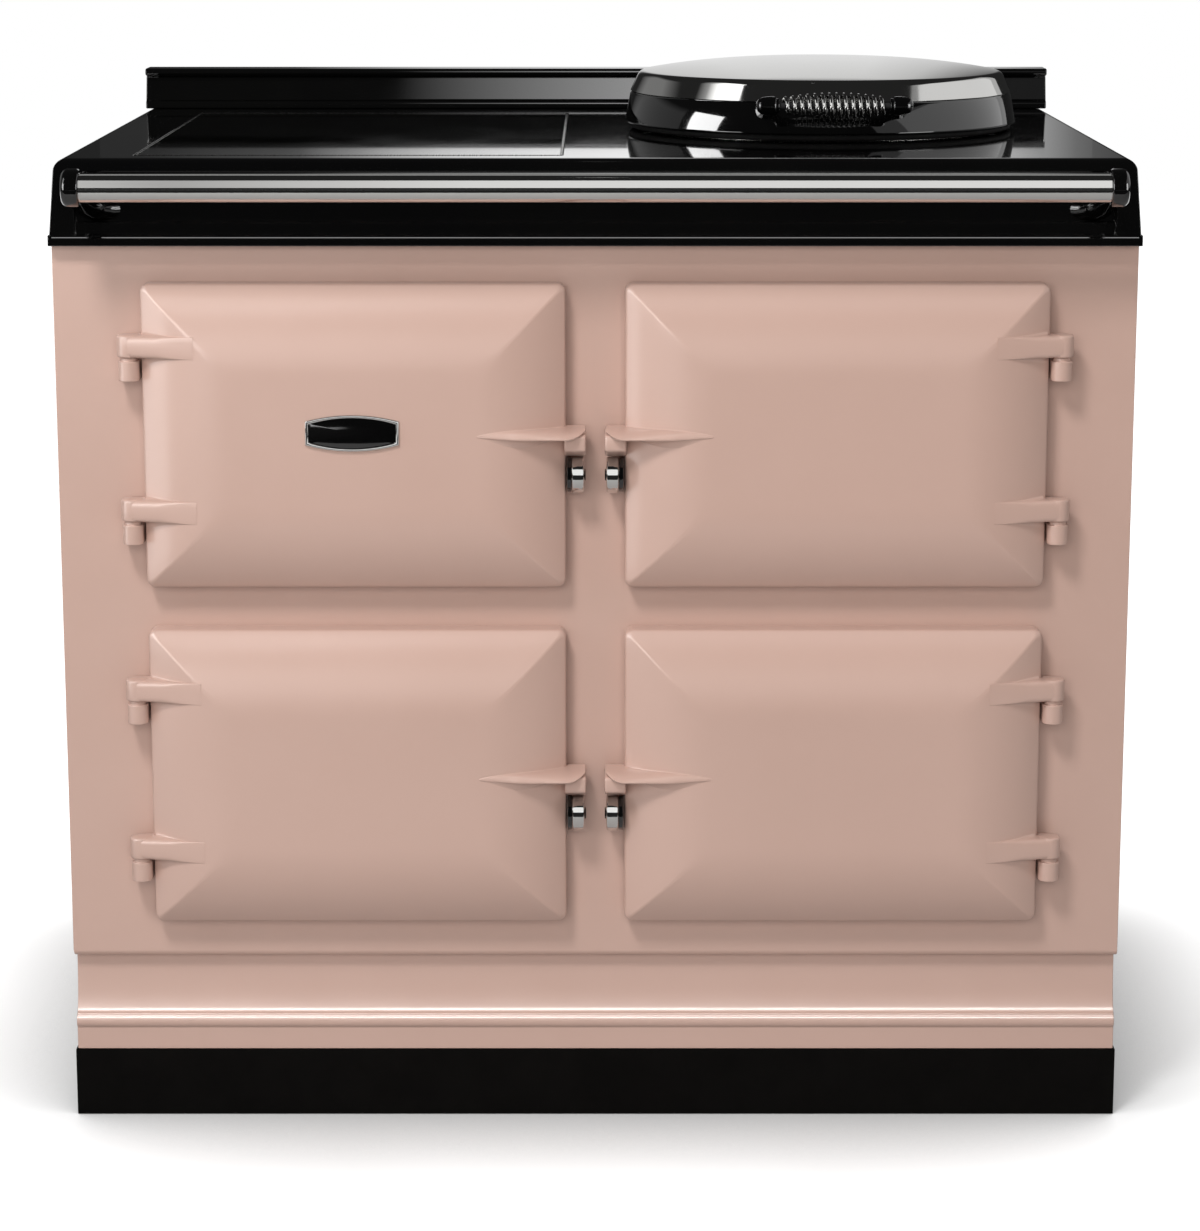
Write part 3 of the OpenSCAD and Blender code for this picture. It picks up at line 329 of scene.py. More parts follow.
PLINTH_PAINT = satin("plinth_paint", (0.0016, 0.0013, 0.0011), (0.0026, 0.0022, 0.0019),
                     0.03, 0.42, 0.52, spec=0.1)
PLASTIC = satin("moulded_plastic", (0.012, 0.012, 0.012), (0.02, 0.02, 0.02), 0.06, 0.45, 0.6)
FRAME_PAINT = satin("frame_paint", (0.02, 0.02, 0.021), (0.032, 0.032, 0.033), 0.05, 0.5, 0.62)
PALE_PRINT = satin("pale_print", (0.55, 0.55, 0.53), (0.62, 0.62, 0.6), 0.01, 0.5, 0.6)
LENS = satin("amber_lens", (0.5, 0.16, 0.02), (0.62, 0.22, 0.03), 0.01, 0.12, 0.2, 0.5)
RUBBER = satin("gasket_rubber", (0.006, 0.006, 0.006), (0.011, 0.011, 0.011), 0.05, 0.6, 0.75)
print("paints:", PLINTH_PAINT.name, PLASTIC.name, FRAME_PAINT.name, RUBBER.name)

# %% [markdown]
# ## Making meshes
# Most pieces are one of four kinds: a solid taken from the imported model with its sharp edges
# rounded, a turned shape, a loft through a row of outlines, or a round wire along a path. Each
# kind has one maker here. All of them end in the same last step, which makes the object, lets
# it ride on its body and hides the imported part that it stands for.

# %% Finish a mesh and hang it on its body


def body_of(node):
    """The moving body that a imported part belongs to."""
    groups = frame["record"]["behaviour"]["bodies"]
    return next(body for body, members in groups.items() if node in members)


def dress(name, form, finish, node, stands_for=True, sharp=32):
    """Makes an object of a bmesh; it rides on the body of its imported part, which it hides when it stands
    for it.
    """
    mesh = bpy.data.meshes.new(name)
    form.to_mesh(mesh)
    form.free()
    mesh.materials.append(finish)
    mesh.shade_smooth()
    mesh.set_sharp_from_angle(angle=math.radians(sharp))
    piece = bpy.data.objects.new(name, mesh)
    bpy.context.scene.collection.objects.link(piece)
    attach(piece, body_of(node))
    if stands_for:
        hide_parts(node)
    return piece


def weigh_normals(piece):
    """Keeps the flats flat beside rounded edges."""
    piece.modifiers.new("flat_faces", "WEIGHTED_NORMAL").keep_sharp = True
    return piece


# %% [markdown]
# ## Rounded copies
# A casting or a folded sheet has no knife edges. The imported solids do, so most of them are
# copied, cleaned of needless flat edges, and given a small bevel on every sharp one. The bevel
# catches a line of light, which is what makes an edge look real.

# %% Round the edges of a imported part


def clean_copy(node):
    """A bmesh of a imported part, with flat faces merged."""
    form = bmesh.new()
    form.from_mesh(frame["nodes"][node].data)
    bmesh.ops.remove_doubles(form, verts=form.verts, dist=0.01 * MM)
    bmesh.ops.dissolve_limit(form, angle_limit=math.radians(0.6), verts=form.verts, edges=form.edges)
    return form


def sharp_edges(form, angle):
    limit = math.radians(angle)
    return [edge for edge in form.edges if len(edge.link_faces) == 2 and edge.calc_face_angle(0) > limit]


def soften(form, width, segments=3, angle=28):
    """Rounds all sharp edges to a width in millimetres."""
    bmesh.ops.bevel(form, geom=sharp_edges(form, angle), offset=width * MM, segments=segments,
                    profile=0.5, affect="EDGES", clamp_overlap=True)
    return form


def rounded(node, finish, width):
    """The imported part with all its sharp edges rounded."""
    form = soften(clean_copy(node), width)
    return weigh_normals(dress(node + "_dressed", form, finish, node, sharp=50))


print("packed parts to dress:", len(frame["nodes"]))

# %% [markdown]
# ## Lofts, turnings and wires
# A loft joins a row of outlines with the same number of points. A turned part is a loft whose
# outlines go round an axis. A wire is a loft of small circles along a path. They all share one
# function that skins the rows.

# %% Skin rows of points


def skin(form, rows, closed_rows=True, caps=True):
    """Joins rows of points, in millimetres, with faces, and closes the two ends."""
    rings = [[form.verts.new(Vector(point) * MM) for point in row] for row in rows]
    count = len(rings[0])
    last = count if closed_rows else count - 1
    for low, high in zip(rings, rings[1:]):
        for i in range(last):
            j = (i + 1) % count
            form.faces.new((low[i], low[j], high[j], high[i]))
    if caps:
        form.faces.new(rings[0])
        form.faces.new(rings[-1])
    return form


def outward(form):
    """Turns all faces outwards."""
    bmesh.ops.recalc_face_normals(form, faces=form.faces)
    return form


def pulled(profile, low_x, high_x):
    """A profile of (depth, height) pulled along the width."""
    return outward(skin(bmesh.new(), [[(x, y, z) for y, z in profile] for x in (low_x, high_x)]))


def turned(profile, place, steps=128, form=None):
    """Turns a closed profile of (radius, height) round an axis; place maps it into space."""
    form = form or bmesh.new()
    rows = []
    for k in range(steps):
        angle = 2 * math.pi * k / steps
        rows.append([place(r * math.cos(angle), r * math.sin(angle), h) for r, h in profile])
    skin(form, rows + [rows[0]], closed_rows=True, caps=False)
    bmesh.ops.remove_doubles(form, verts=form.verts, dist=0.002 * MM)
    return outward(form)


def arc(centre, radius, start, end, steps):
    """Points of an arc in a profile, angles in degrees."""
    points = []
    for k in range(steps + 1):
        angle = math.radians(start + (end - start) * k / steps)
        points.append((centre[0] + radius * math.cos(angle), centre[1] + radius * math.sin(angle)))
    return points


print("arc of four points:", [tuple(round(v, 1) for v in p) for p in arc((0, 0), 1, 0, 90, 3)])

# %% Wires


def wire(path, radius, sides=10, form=None):
    """A round wire along a path; each ring is turned as little as it can be from the last."""
    form = form or bmesh.new()
    points = [Vector(point) for point in path]
    side = None
    rows = []
    for i, point in enumerate(points):
        ahead = (points[min(i + 1, len(points) - 1)] - points[max(i - 1, 0)]).normalized()
        if side is None:
            side = ahead.orthogonal()
        side = (side - side.dot(ahead) * ahead).normalized()
        up = ahead.cross(side)
        rows.append([point + radius * (side * math.cos(a) + up * math.sin(a))
                     for a in (2 * math.pi * k / sides for k in range(sides))])
    return outward(skin(form, rows))


print("makers ready: rounded, skin, pulled, turned, wire")

# %% [markdown]
# ## The doors
# Each door is a single thick casting. Its front bulges: four curved bevels rise from a thin rim
# to a flat middle and meet in mitred ridges at the corners. The bulge is modelled as nested
# frames, each a little further in and further forward, so that the ridges stay crisp where the
# bevels are steep and fade out near the middle.

# %% The pillow front of a door
DOOR_W = 385
DOOR_H = 280
DOOR_R = 8
BACK_Y = -1
RIM_Y = -20
CROWN_Y = -48
BEVEL_W = 80
RIM_ROUND = 5
RIDGE_R = 2.2
RIDGE_END = 30
BEVEL_R = (BEVEL_W ** 2 + (RIM_Y - CROWN_Y) ** 2) / (2 * (RIM_Y - CROWN_Y))


def pillow_y(inset):
    """How far forward the front lies at a distance in from the edge of the door."""
    left = BEVEL_W - min(inset, BEVEL_W)
    return CROWN_Y + BEVEL_R - math.sqrt(BEVEL_R ** 2 - left ** 2)


def frame_ring(inset, y, radius, along=(26, 18), corner=8):
    """One nested frame of points: straight sides with rounded corners."""
    half = (DOOR_W / 2 - inset - radius, DOOR_H / 2 - inset - radius)
    points = []
    for q, (sx, sz) in enumerate([(1, 1), (-1, 1), (-1, -1), (1, -1)]):
        for px, pz in arc((sx * half[0], sz * half[1]), radius, 90 * q, 90 * q + 90, corner):
            points.append((px, y, pz))
        nx, nz = [(-1, 1), (-1, -1), (1, -1), (1, 1)][q]
        start = points[-1]
        wide, tall = (0, radius) if q in (0, 2) else (radius, 0)
        end = (nx * (half[0] + wide), y, nz * (half[1] + tall))
        count = along[q % 2]
        for k in range(1, count):
            points.append(tuple(a + (b - a) * k / count for a, b in zip(start, end)))
    return points


def ridge_radius(inset):
    """Corner radius of a nested frame: the outer corner, then a crisp ridge that softens inwards."""
    if inset < RIDGE_END:
        return max(DOOR_R - inset, RIDGE_R)
    return RIDGE_R + 9 * ((inset - RIDGE_END) / (BEVEL_W - RIDGE_END)) ** 2


print("front of a door, 0, 20, 40 and 80 mm in:", [round(pillow_y(m), 1) for m in (0, 20, 40, 80)])

# %% [markdown]
# The rim of the door is a rounded edge between the flat side and the bevel. Its arc starts on
# the side, ends tangent to the bevel, and the back of the casting is hollow behind a flange.

# %% Rows of points for a whole door
DOOR_WALL = 14
HOLLOW_Y = RIM_Y + 5
INSETS = [5, 8, 12, 16, 21, 26, 32, 38, 44, 50, 56, 62, 67, 72, 76, BEVEL_W]


def door_rows():
    turn = math.pi / 2 - math.asin(BEVEL_W / BEVEL_R)
    rise = RIM_ROUND * math.tan(turn / 2)
    rows = [frame_ring(inset, y, radius) for inset, y, radius in (
        (60, HOLLOW_Y, 2), (DOOR_WALL, HOLLOW_Y, 3), (DOOR_WALL, BACK_Y, 3), (1.2, BACK_Y, 6.8),
        (0, BACK_Y - 1.2, DOOR_R))]
    for k in range(10):
        a = turn * k / 9
        m = RIM_ROUND * (1 - math.cos(a))
        y = RIM_Y + rise - RIM_ROUND * math.sin(a)
        rows.append(frame_ring(m, y, max(DOOR_R - m, RIDGE_R)))
    return rows + [frame_ring(m, pillow_y(m), ridge_radius(m)) for m in INSETS]


print("a door has", len(door_rows()), "nested frames of", len(door_rows()[0]), "points")

# %% [markdown]
# ## Hinge arms and catch lugs
# Two arms grow out of the bevel on the hinge side and end in eyes that drop over the hinge
# pins. On the other side a pointed ledge, the finger pull, runs out over the catch roller. They
# are lofted through cross-sections that start on the bevel, so each section has a curved foot
# like the fillets of a real casting.

# %% Cross-sections that stand on the bevel


def bend(start, corner, end, steps):
    """A curve from start to end that leans towards a corner, without its first point."""
    points = []
    for k in range(1, steps + 1):
        t = k / steps
        points.append(tuple((1 - t) ** 2 * a + 2 * t * (1 - t) * b + t * t * c
                            for a, b, c in zip(start, corner, end)))
    return points


def arm_section(x, base, front, half, flare_low, flare_high, back):
    """A closed outline across an arm, from its lower foot over its front to its upper foot."""
    edge = min(5, abs(front - base) * 0.6 + 0.4)
    outline = [(-(half + flare_low), base + 0.5)]
    outline += bend(outline[-1], (-half, base), (-half, front + edge), 5)
    outline += bend(outline[-1], (-half, front), (-half + edge, front), 4)
    outline += bend(outline[-1], (0, front - 0.3), (half - edge, front), 4)
    outline += bend(outline[-1], (half, front), (half, front + edge), 4)
    outline += bend(outline[-1], (half, base), (half + flare_high, base + 0.5), 5)
    outline += [(half + min(flare_high, 1), back), (-half - min(flare_low, 1), back)]
    return [(x, y, z) for z, y in outline]


print("an arm's section has", len(arm_section(0, -20, -30, 10, 3, 3, -8)), "points")

# %% Hinge arm
ARM_HALF = 10.25
ARM_START = DOOR_W / 2 - 50
ARM_FRONT_IN = -44.4
ARM_FRONT_OUT = -32.5
EYE_X = DOOR_W / 2 + 11
EYE_Y = -22
EYE_R = 10.5
ARM_INSIDE_EYE = 0.3
GUSSET = 9
ARM_HEIGHTS = (84, -67)


def arm_front(x):
    """How far forward the arm reaches at a distance from the door's middle."""
    return ARM_FRONT_IN + (ARM_FRONT_OUT - ARM_FRONT_IN) * (x - ARM_START) / (EYE_X - ARM_START)


def arm_rows():
    """Sections from the fade-out on the bevel to the middle of the eye."""
    edge = DOOR_W / 2
    rows = []
    for k in range(15):
        x = ARM_START + (edge - 2.5 - ARM_START) * k / 14
        front = arm_front(x)
        base = pillow_y(edge - x)
        high = max(base - front, 0)
        flares = (min(GUSSET, high * 0.9), min(4, high * 0.5))
        rows.append(arm_section(x, base, min(front, base - 0.2), ARM_HALF, *flares, base + 8))
    for x in (edge - 0.8, EYE_X - 4, EYE_X):
        rows.append(arm_section(x, -12, arm_front(x), ARM_HALF - ARM_INSIDE_EYE, 0, 0, -12))
    return rows


def eye_profile():
    """Closed profile of the eye: a short cylinder with rounded rims."""
    round_r = 2.2
    top = arc((EYE_R - round_r, ARM_HALF - round_r), round_r, 0, 90, 4)
    return [(0, -ARM_HALF), *[(r, -h) for r, h in reversed(top)], *top, (0, ARM_HALF)]


print("an arm has", len(arm_rows()), "sections")

# %% [markdown]
# The finger pull is a thin ledge: its face leans back so that it catches the light from above,
# its underside is scooped out for the fingers, and its end hangs down over the roller as a
# blunt tongue.

# %% Catch lug
LUG_TIP = -DOOR_W / 2 - 18.5
LUG_IN = -DOOR_W / 2 + 80
LUG_FRONT = -51
LUG_TOP = 9.5
TONGUE = [(-12, -18), (-20, -18), (-41, -10), (-41, 4), (-14, 8)]


def lug_section(x, base, front, top, low, scoop, back, rise=2.2):
    """A closed outline across the ledge: scooped underside, sharp lip, leaning face."""
    lip = min(1.6, (top - low) * 0.3)
    outline = [(low - scoop, base + 0.5)]
    outline += bend(outline[-1], (low + 0.4, base - 0.35 * (base - front)), (low, front + lip), 7)
    outline += bend(outline[-1], (low + 0.1, front), (low + lip, front - 0.1), 4)
    lean = (low + 0.95 * (top - low), front + 0.14 * (base - front))
    outline += bend(outline[-1], lean, (top, base - 0.6), 9)
    outline += bend(outline[-1], (top + 0.3, base), (top + rise, base + 0.5), 3)
    outline += [(top, back), (low, back)]
    return [(x, y, z) for z, y in outline]


def lug_rows():
    edge = -DOOR_W / 2
    rows = []
    for k in range(26):
        t = k / 25
        x = LUG_IN + (edge + 2.5 - LUG_IN) * t
        base = pillow_y(x - edge)
        front = base - 0.3 - (base - 0.3 - LUG_FRONT) * min(1, t * 2.2) ** 0.9
        grown = math.sin(math.pi / 2 * min(1, t / 0.55)) ** 0.8
        top = LUG_TOP - 5 * (1 - grown)
        low = 3.5 - 2.7 * grown
        scoop = 8 * math.sin(math.pi * min(1, t * 1.02)) ** 1.2 + 0.8
        rows.append(lug_section(x, base, front, top, low, scoop, base + 9))
    for past, low, front in ((0.5, 0.8, 0), (4, 1, 0.6), (8, 1.8, 2.4), (12, 3.4, 5.6), (15, 5.2, 10)):
        rows.append(lug_section(edge - past, -14, LUG_FRONT + front, LUG_TOP, low, 0.2, -11, 0.1))
    rows.append(lug_section(LUG_TIP + 0.8, -14, LUG_FRONT + 16, 9.2, 7, 0.2, -11, 0.1))
    return rows


print("the finger pull has", len(lug_rows()), "sections")

# %% [markdown]
# ## Putting a door together
# A door is modelled once, in its own coordinates, as a right-hand door. The left-hand doors are
# its mirror image. All shells of one casting go into one mesh, so that they share the enamel.

# %% Doors
DOOR_X = 219.5
DOOR_Z = {"upper": 658, "lower": 338}


def hung(points, side, level):
    """Moves points of a right-hand door to a door's place; the left ones are mirrored."""
    return [(side * (DOOR_X + x), face_y + y, DOOR_Z[level] + z) for x, y, z in points]


def lump(form, rows, width):
    """A lump of a casting: a loft through two rows, with rounded edges."""
    before = set(form.edges)
    skin(form, rows)
    edges = [edge for edge in form.edges if edge not in before]
    bmesh.ops.bevel(form, geom=edges, offset=width * MM, segments=3, profile=0.5, affect="EDGES")
    return form


def door(side, level):
    form = bmesh.new()
    skin(form, [hung(row, side, level) for row in door_rows()])
    for height in ARM_HEIGHTS:
        rows = [[(x, y, z + height) for x, y, z in row] for row in arm_rows()]
        skin(form, [hung(row, side, level) for row in rows])
        turned(eye_profile(),
               lambda u, v, h, z=height: hung([(EYE_X + u, EYE_Y + v, z + h)], side, level)[0],
               steps=40, form=form)
    skin(form, [hung(row, side, level) for row in lug_rows()])
    ends = (LUG_TIP, -DOOR_W / 2 + 1.2)
    lump(form, [hung([(x, y, z) for y, z in TONGUE], side, level) for x in ends], 2.2)
    outward(form)
    word = "left" if side < 0 else "right"
    return dress(f"door_casting_{level}_{word}", form, PINK, f"door_{level}_{word}", sharp=40)


for level in ("upper", "lower"):
    for side in (-1, 1):
        print(door(side, level).name)

# %% [markdown]
# ## The badge plate
# A small barrel-shaped plate is fixed to the upper left door: a bright rim round a domed black
# field. The field is left bare here.

# %% Badge plate
BADGE_W = 85
BADGE_H = 33.5
BADGE_ARCH = 5.75
BADGE_UP = 8
BADGE_RIM = 2.8
BADGE_SEAT = CROWN_Y + 0.3
BADGE_FACE = -49.3


def barrel_ring(inset, y, shrink=1.0, steps=24):
    """The outline of the plate, drawn in by an inset and shrunk towards its middle."""
    half_w = (BADGE_W / 2 - inset) * shrink
    half_h = (BADGE_H / 2 - inset) * shrink
    arch = BADGE_ARCH * shrink
    points = []
    for sign in (1, -1):
        for k in range(steps + 1):
            x = sign * half_w * (1 - 2 * k / steps)
            points.append((x, y, sign * (half_h - arch * (x / half_w) ** 2)))
    return points


def badge():
    place = lambda inset, y, shrink=1.0: hung([(x, depth, z + BADGE_UP) for x, depth, z in
                                               barrel_ring(inset, y, shrink)], -1, "upper")
    rim = bmesh.new()
    rows = [(0, BADGE_SEAT), (0, -49.8), (0.5, -50.7), (1.4, -51), (2.3, -50.7), (2.9, -49.9),
            (3, BADGE_SEAT)]
    skin(rim, [place(inset, y) for inset, y in rows], caps=False)
    dress("badge_rim", outward(rim), CHROME, "door_badge", stands_for=False, sharp=60)
    rings = [place(BADGE_RIM, BADGE_SEAT), place(BADGE_RIM, BADGE_FACE)]
    for shrink in (1 - k / 12 for k in range(1, 12)):
        rings.append(place(BADGE_RIM, BADGE_FACE - 1.5 * (1 - shrink ** 2), shrink))
    return dress("badge_field", outward(skin(bmesh.new(), rings)), BLACK, "door_badge", sharp=60)


print(badge().name)

# %% [markdown]
# ## Castings and sheets with rounded edges
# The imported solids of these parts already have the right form. Each gets the bevel that its
# making would leave: cast parts a few millimetres, folded sheet about one, glass almost none.

# %% Rounded parts
ROUNDED = {
    "side_panel_left": (PINK, 0.9), "side_panel_right": (PINK, 0.9),
    "plinth": (PLINTH_PAINT, 0.8),
    "hob_casing": (BLACK, 3.6), "hob_glass": (BLACK, 0.3),
    "glass_trim": (BRUSHED, 0.1), "catch_brackets": (BLACK, 0.8),
    "lid_hinge_bracket": (BLACK, 1.2), "lid_arm": (BLACK, 2),
    "lid_liner": (LINER, 0.8), "lid_hinge_pin": (BRUSHED, 0.5), "lid_handle_rod": (FRAME_PAINT, 0.3),
    "back_panel": (ZINC, 0.5), "base_frame": (FRAME_PAINT, 1), "control_box": (ZINC, 0.5),
    "control_fascia": (PLASTIC, 0.5), "cable_gland": (PLASTIC, 0.6), "levelling_feet": (ZINC, 0.8),
    "inner_upper_left": (LINER, 0.8), "inner_upper_right": (LINER, 1.2),
    "inner_lower_left": (LINER, 1.2), "inner_lower_right": (LINER, 1.2),
    "roasting_oven": (OVEN_IRON, 1), "baking_oven": (OVEN_IRON, 1), "simmering_oven": (OVEN_IRON, 1),
    "hand_rail": (CHROME, 0.3),
}
for node, (finish, width) in ROUNDED.items():
    rounded(node, finish, width)
print("rounded", len(ROUNDED), "parts")

# %% [markdown]
# ## The front plate
# The plate that carries the doors is cast too. Its lower edge is rounded over much further than
# the rest, where it turns under towards the moulding.

# %% Front plate
PLATE_FOOT_R = 6


def front_plate():
    low, _ = span("front_plate")
    form = clean_copy("front_plate")
    on_foot = lambda vert: abs(vert.co.z / MM - low.z) < 0.5 and abs(vert.co.y / MM - low.y) < 0.5
    foot = [edge for edge in sharp_edges(form, 28) if all(on_foot(vert) for vert in edge.verts)]
    bmesh.ops.bevel(form, geom=foot, offset=PLATE_FOOT_R * MM, segments=7, profile=0.5, affect="EDGES")
    soften(form, 1.6)
    return weigh_normals(dress("front_plate_dressed", form, PINK, "front_plate", sharp=50))


print(front_plate().name)

# %% [markdown]
# ## Drip edge of the hob
# A low bead runs along the foot of the hob casing's front, so that spills drip off in front of
# the doors. It is a small profile pulled along the width.

# %% Drip edge


def drip_edge():
    low, high = span("hob_casing")
    front, foot = low.y, low.z + 0.3
    profile = [(front + 1, foot), (front - 1.2, foot)]
    profile += bend(profile[-1], (front - 2, foot), (front - 2, foot + 1), 3)
    profile += [(front - 2, foot + 5)]
    profile += bend(profile[-1], (front - 2, foot + 8), (front + 0.2, foot + 9), 8)
    profile += [(front + 1, foot + 9.2)]
    form = pulled(profile, low.x + 4, high.x - 4)
    return weigh_normals(dress("hob_drip_edge", form, BLACK, "hob_casing", stands_for=False, sharp=50))


print(drip_edge().name)

# %% [markdown]
# ## Hinge blocks
# Under each eye sits a block on the front plate, with the pin that the eye drops over. The pin
# ends a little below the top of the eye and can't be seen there, so it is cut short here.

# %% Hinge blocks


def hinge_blocks():
    form = clean_copy("hinge_blocks")
    tops = [DOOR_Z[level] + height + ARM_HALF - 1.5 for level in DOOR_Z for height in ARM_HEIGHTS]
    for vert in form.verts:
        for top in tops:
            if 0 < vert.co.z / MM - top < 8:
                vert.co.z = top * MM
    soften(form, 1.8)
    return weigh_normals(dress("hinge_blocks_dressed", form, PINK, "hinge_blocks", sharp=50))


print(hinge_blocks().name)

# %% [markdown]
# ## The upstand
# The strip along the back of the hob keeps spills off the wall. It has a foot, a face that leans
# back a little, and a rolled lip. One profile is drawn and pulled along the width.

# %% Upstand


def upstand():
    low, high = span("upstand")
    front, back, foot, top = low.y, high.y, low.z, high.z
    profile = [(back, foot), (front, foot), (front, foot + 5)]
    profile += bend(profile[-1], (front + 0.2, foot + 8), (front + 3.4, foot + 9), 5)
    profile += [(front + 9.5, top - 10.5)]
    profile += bend(profile[-1], (front + 9.8, top - 8.6), (front + 4, top - 8), 5)
    profile += bend(profile[-1], (front, top - 7.6), (front, top - 4.4), 5)
    profile += bend(profile[-1], (front, top), (front + 4.6, top), 6)
    profile += [(back, top)]
    form = soften(pulled(profile, low.x, high.x), 3.4, segments=5, angle=50)
    return weigh_normals(dress("upstand_run", form, BLACK, "upstand", sharp=50))


print(upstand().name)

# %% [markdown]
# ## Brackets of the rail and of the lid's handle
# Both are small castings of the same kind: a round socket about the bar and a neck that swings
# back and flares into a foot. The socket is turned, the neck is a loft of ovals.

# %% Socket brackets
SOCKET_LENGTH = 16
SOCKET_R = 17
POST_LENGTH = 22


def oval(side, middle, y, half_x, half_z, count=28):
    """One oval across a neck; its middle is (x, z)."""
    angles = [2 * math.pi * k / count for k in range(count)]
    return [(side * middle[0] + half_x * math.cos(a), y, middle[1] + half_z * math.sin(a)) for a in angles]


def rail_brackets():
    low, high = span("rail_brackets")
    rail_low, rail_high = span("hand_rail")
    y, z = (rail_low.y + rail_high.y) / 2, (rail_low.z + rail_high.z) / 2
    outer, inner, r = high.x, high.x - SOCKET_LENGTH, SOCKET_R
    middle = (inner + outer) / 2
    socket = [(0, inner), *arc((r - 2.5, inner + 2.5), 2.5, -90, 0, 5),
              *arc((r - 6, outer - 6), 6, 0, 90, 8), (0, outer)]
    # how far inwards, how far down, depth, half width, half height
    neck = [(0, 1, y + 4, 6.4, 12), (1, 4, y + 20, 6.2, 9.6), (3, 12, face_y - 36, 6.4, 8.2),
            (5, 21, face_y - 18, 8, 8), (8, 25, face_y - 7, 12, 9), (11, 26.9, face_y - 1, 17, 10.2),
            (12.5, 26.9, face_y + 2.4, 20, 10.6)]
    form = bmesh.new()
    for side in (-1, 1):
        turned(socket, lambda u, v, h, side=side: (side * h, y + u, z + v), steps=64, form=form)
        skin(form, [oval(side, (middle - inwards, z - down), depth, half_x, half_z)
                    for inwards, down, depth, half_x, half_z in neck])
    outward(form)
    return dress("rail_bracket_castings", form, BLACK, "rail_brackets", sharp=60)


def handle_posts():
    rod_low, rod_high = span("lid_handle_rod")
    low, high = span("lid_handle_posts")
    y, z = (rod_low.y + rod_high.y) / 2, (rod_low.z + rod_high.z) / 2
    centre = (low.x + high.x) / 2
    outer = (high.x - low.x) / 2
    inner = outer - POST_LENGTH
    knob = [(0, inner), (6.4, inner), (7, inner + 0.8), (7, inner + 3), (8.4, inner + 3.6)]
    knob += bend(knob[-1], (9.4, inner + 8), (8.2, outer - 7), 6)
    knob += bend(knob[-1], (6.6, outer), (0.6, outer), 7)
    knob += [(0, outer)]
    # how far back, how far down, half width, half height
    neck = [(2, 0.5, 6, 6.6), (12, 1.5, 5.6, 6), (22, 3, 5.6, 6), (32, 5, 6.6, 7),
            (39, 7, 8, 8.6), (44, 8, 9.6, 10.6), (47, 8.5, 10.4, 11.4)]
    form = bmesh.new()
    for side in (-1, 1):
        turned(knob, lambda u, v, h, side=side: (centre + side * h, y + u, z + v), steps=56, form=form)
        ovals = [oval(side, (outer - POST_LENGTH / 2, z - down), y + back, half_x, half_z)
                 for back, down, half_x, half_z in neck]
        skin(form, [[(centre + px, py, pz) for px, py, pz in row] for row in ovals])
    outward(form)
    return dress("handle_post_castings", form, BLACK, "lid_handle_posts", sharp=60)


print(rail_brackets().name, handle_posts().name)

# %% [markdown]
# ## The base moulding
# A strip with a classic profile runs along the foot of the front: a flat lip, a full round roll
# and a deep cove under the front plate. It is a profile drawn with arcs and pulled along the
# width, so that the roll and the cove shade smoothly.

# %% Base moulding
LIP_H = 20
ROLL_R = 7.5
ROLL_OUT = 3
COVE_D = 12
COVE_H = 49
MOULDING_BACK = 19.7


def moulding_profile(low, high):
    """The profile as (depth behind the face, height), from the bottom at the back to the top."""
    turn = math.degrees(math.acos(1 - ROLL_OUT / ROLL_R))
    roll = arc((ROLL_R - ROLL_OUT, low + LIP_H + ROLL_R), ROLL_R, 180 + turn, 180 - turn, 14)
    cove_z = low + LIP_H + 2 * ROLL_R
    cove = [(COVE_D * math.sin(a), cove_z + COVE_H * (1 - math.cos(a)))
            for a in (math.radians(90 * k / 24) for k in range(25))]
    return [(MOULDING_BACK, low), (0, low), *roll, *cove, (COVE_D, high), (MOULDING_BACK, high)]


def base_moulding():
    low, high = span("base_moulding")
    profile = [(face_y + y, z) for y, z in moulding_profile(low.z, high.z)]
    form = soften(pulled(profile, low.x, high.x), 0.9, segments=2, angle=40)
    return weigh_normals(dress("base_moulding_run", form, PINK, "base_moulding", sharp=50))


print(base_moulding().name, "with", len(moulding_profile(0, 92)), "points across")

# %% [markdown]
# ## Catch rollers
# Each door closes against a chromium plated roller on the front plate. It is turned: a barrel
# with rounded rims and a bore for its pin.

# %% Catch rollers
ROLLERS = ("roller_upper_left", "roller_upper_right", "roller_lower_left", "roller_lower_right")
ROLLER_BORE = 4.3


def roller(node):
    low, high = span(node)
    middle = (low + high) / 2
    outer = (high.z - low.z) / 2
    half = (high.x - low.x) / 2
    rim = 1.4
    edge = arc((outer - rim, half - rim), rim, 0, 90, 5)
    bore = [(ROLLER_BORE, half), (ROLLER_BORE, -half)]
    profile = [(r, -h) for r, h in reversed(edge)] + edge + bore
    form = turned(profile, lambda u, v, h: (middle.x + h, middle.y + u, middle.z + v), steps=64)
    return dress(node + "_turned", form, CHROME, node, sharp=50)


print([roller(node).name for node in ROLLERS])

# %% [markdown]
# ## The lid
# The lid is a chromium plated cap, spun from sheet, on a black enamelled band. The bevel meets
# the crowned top in a rounded edge, and a shadow line parts cap and band. A dull gasket ring
# hangs under the band and seals against the hob. All three are turned about one axis.

# %% Lid cap, band and gasket
LID_X, LID_DOWN = 225, 359
LID_Y = face_y + LID_DOWN
CAP_WALL = 3
BAND_WALL = 8
EDGE_R = 5
CROWN_H = 13
CAP_LEAN = 9
BAND_LEAN = 5.7
GASKET_R = 187.5
GASKET_THICK = 3.4
GASKET_DROP = 2.4


def on_lid(u, v, h):
    """Places a turned point about the upright axis of the hotplate."""
    return (LID_X + u, LID_Y + v, h)


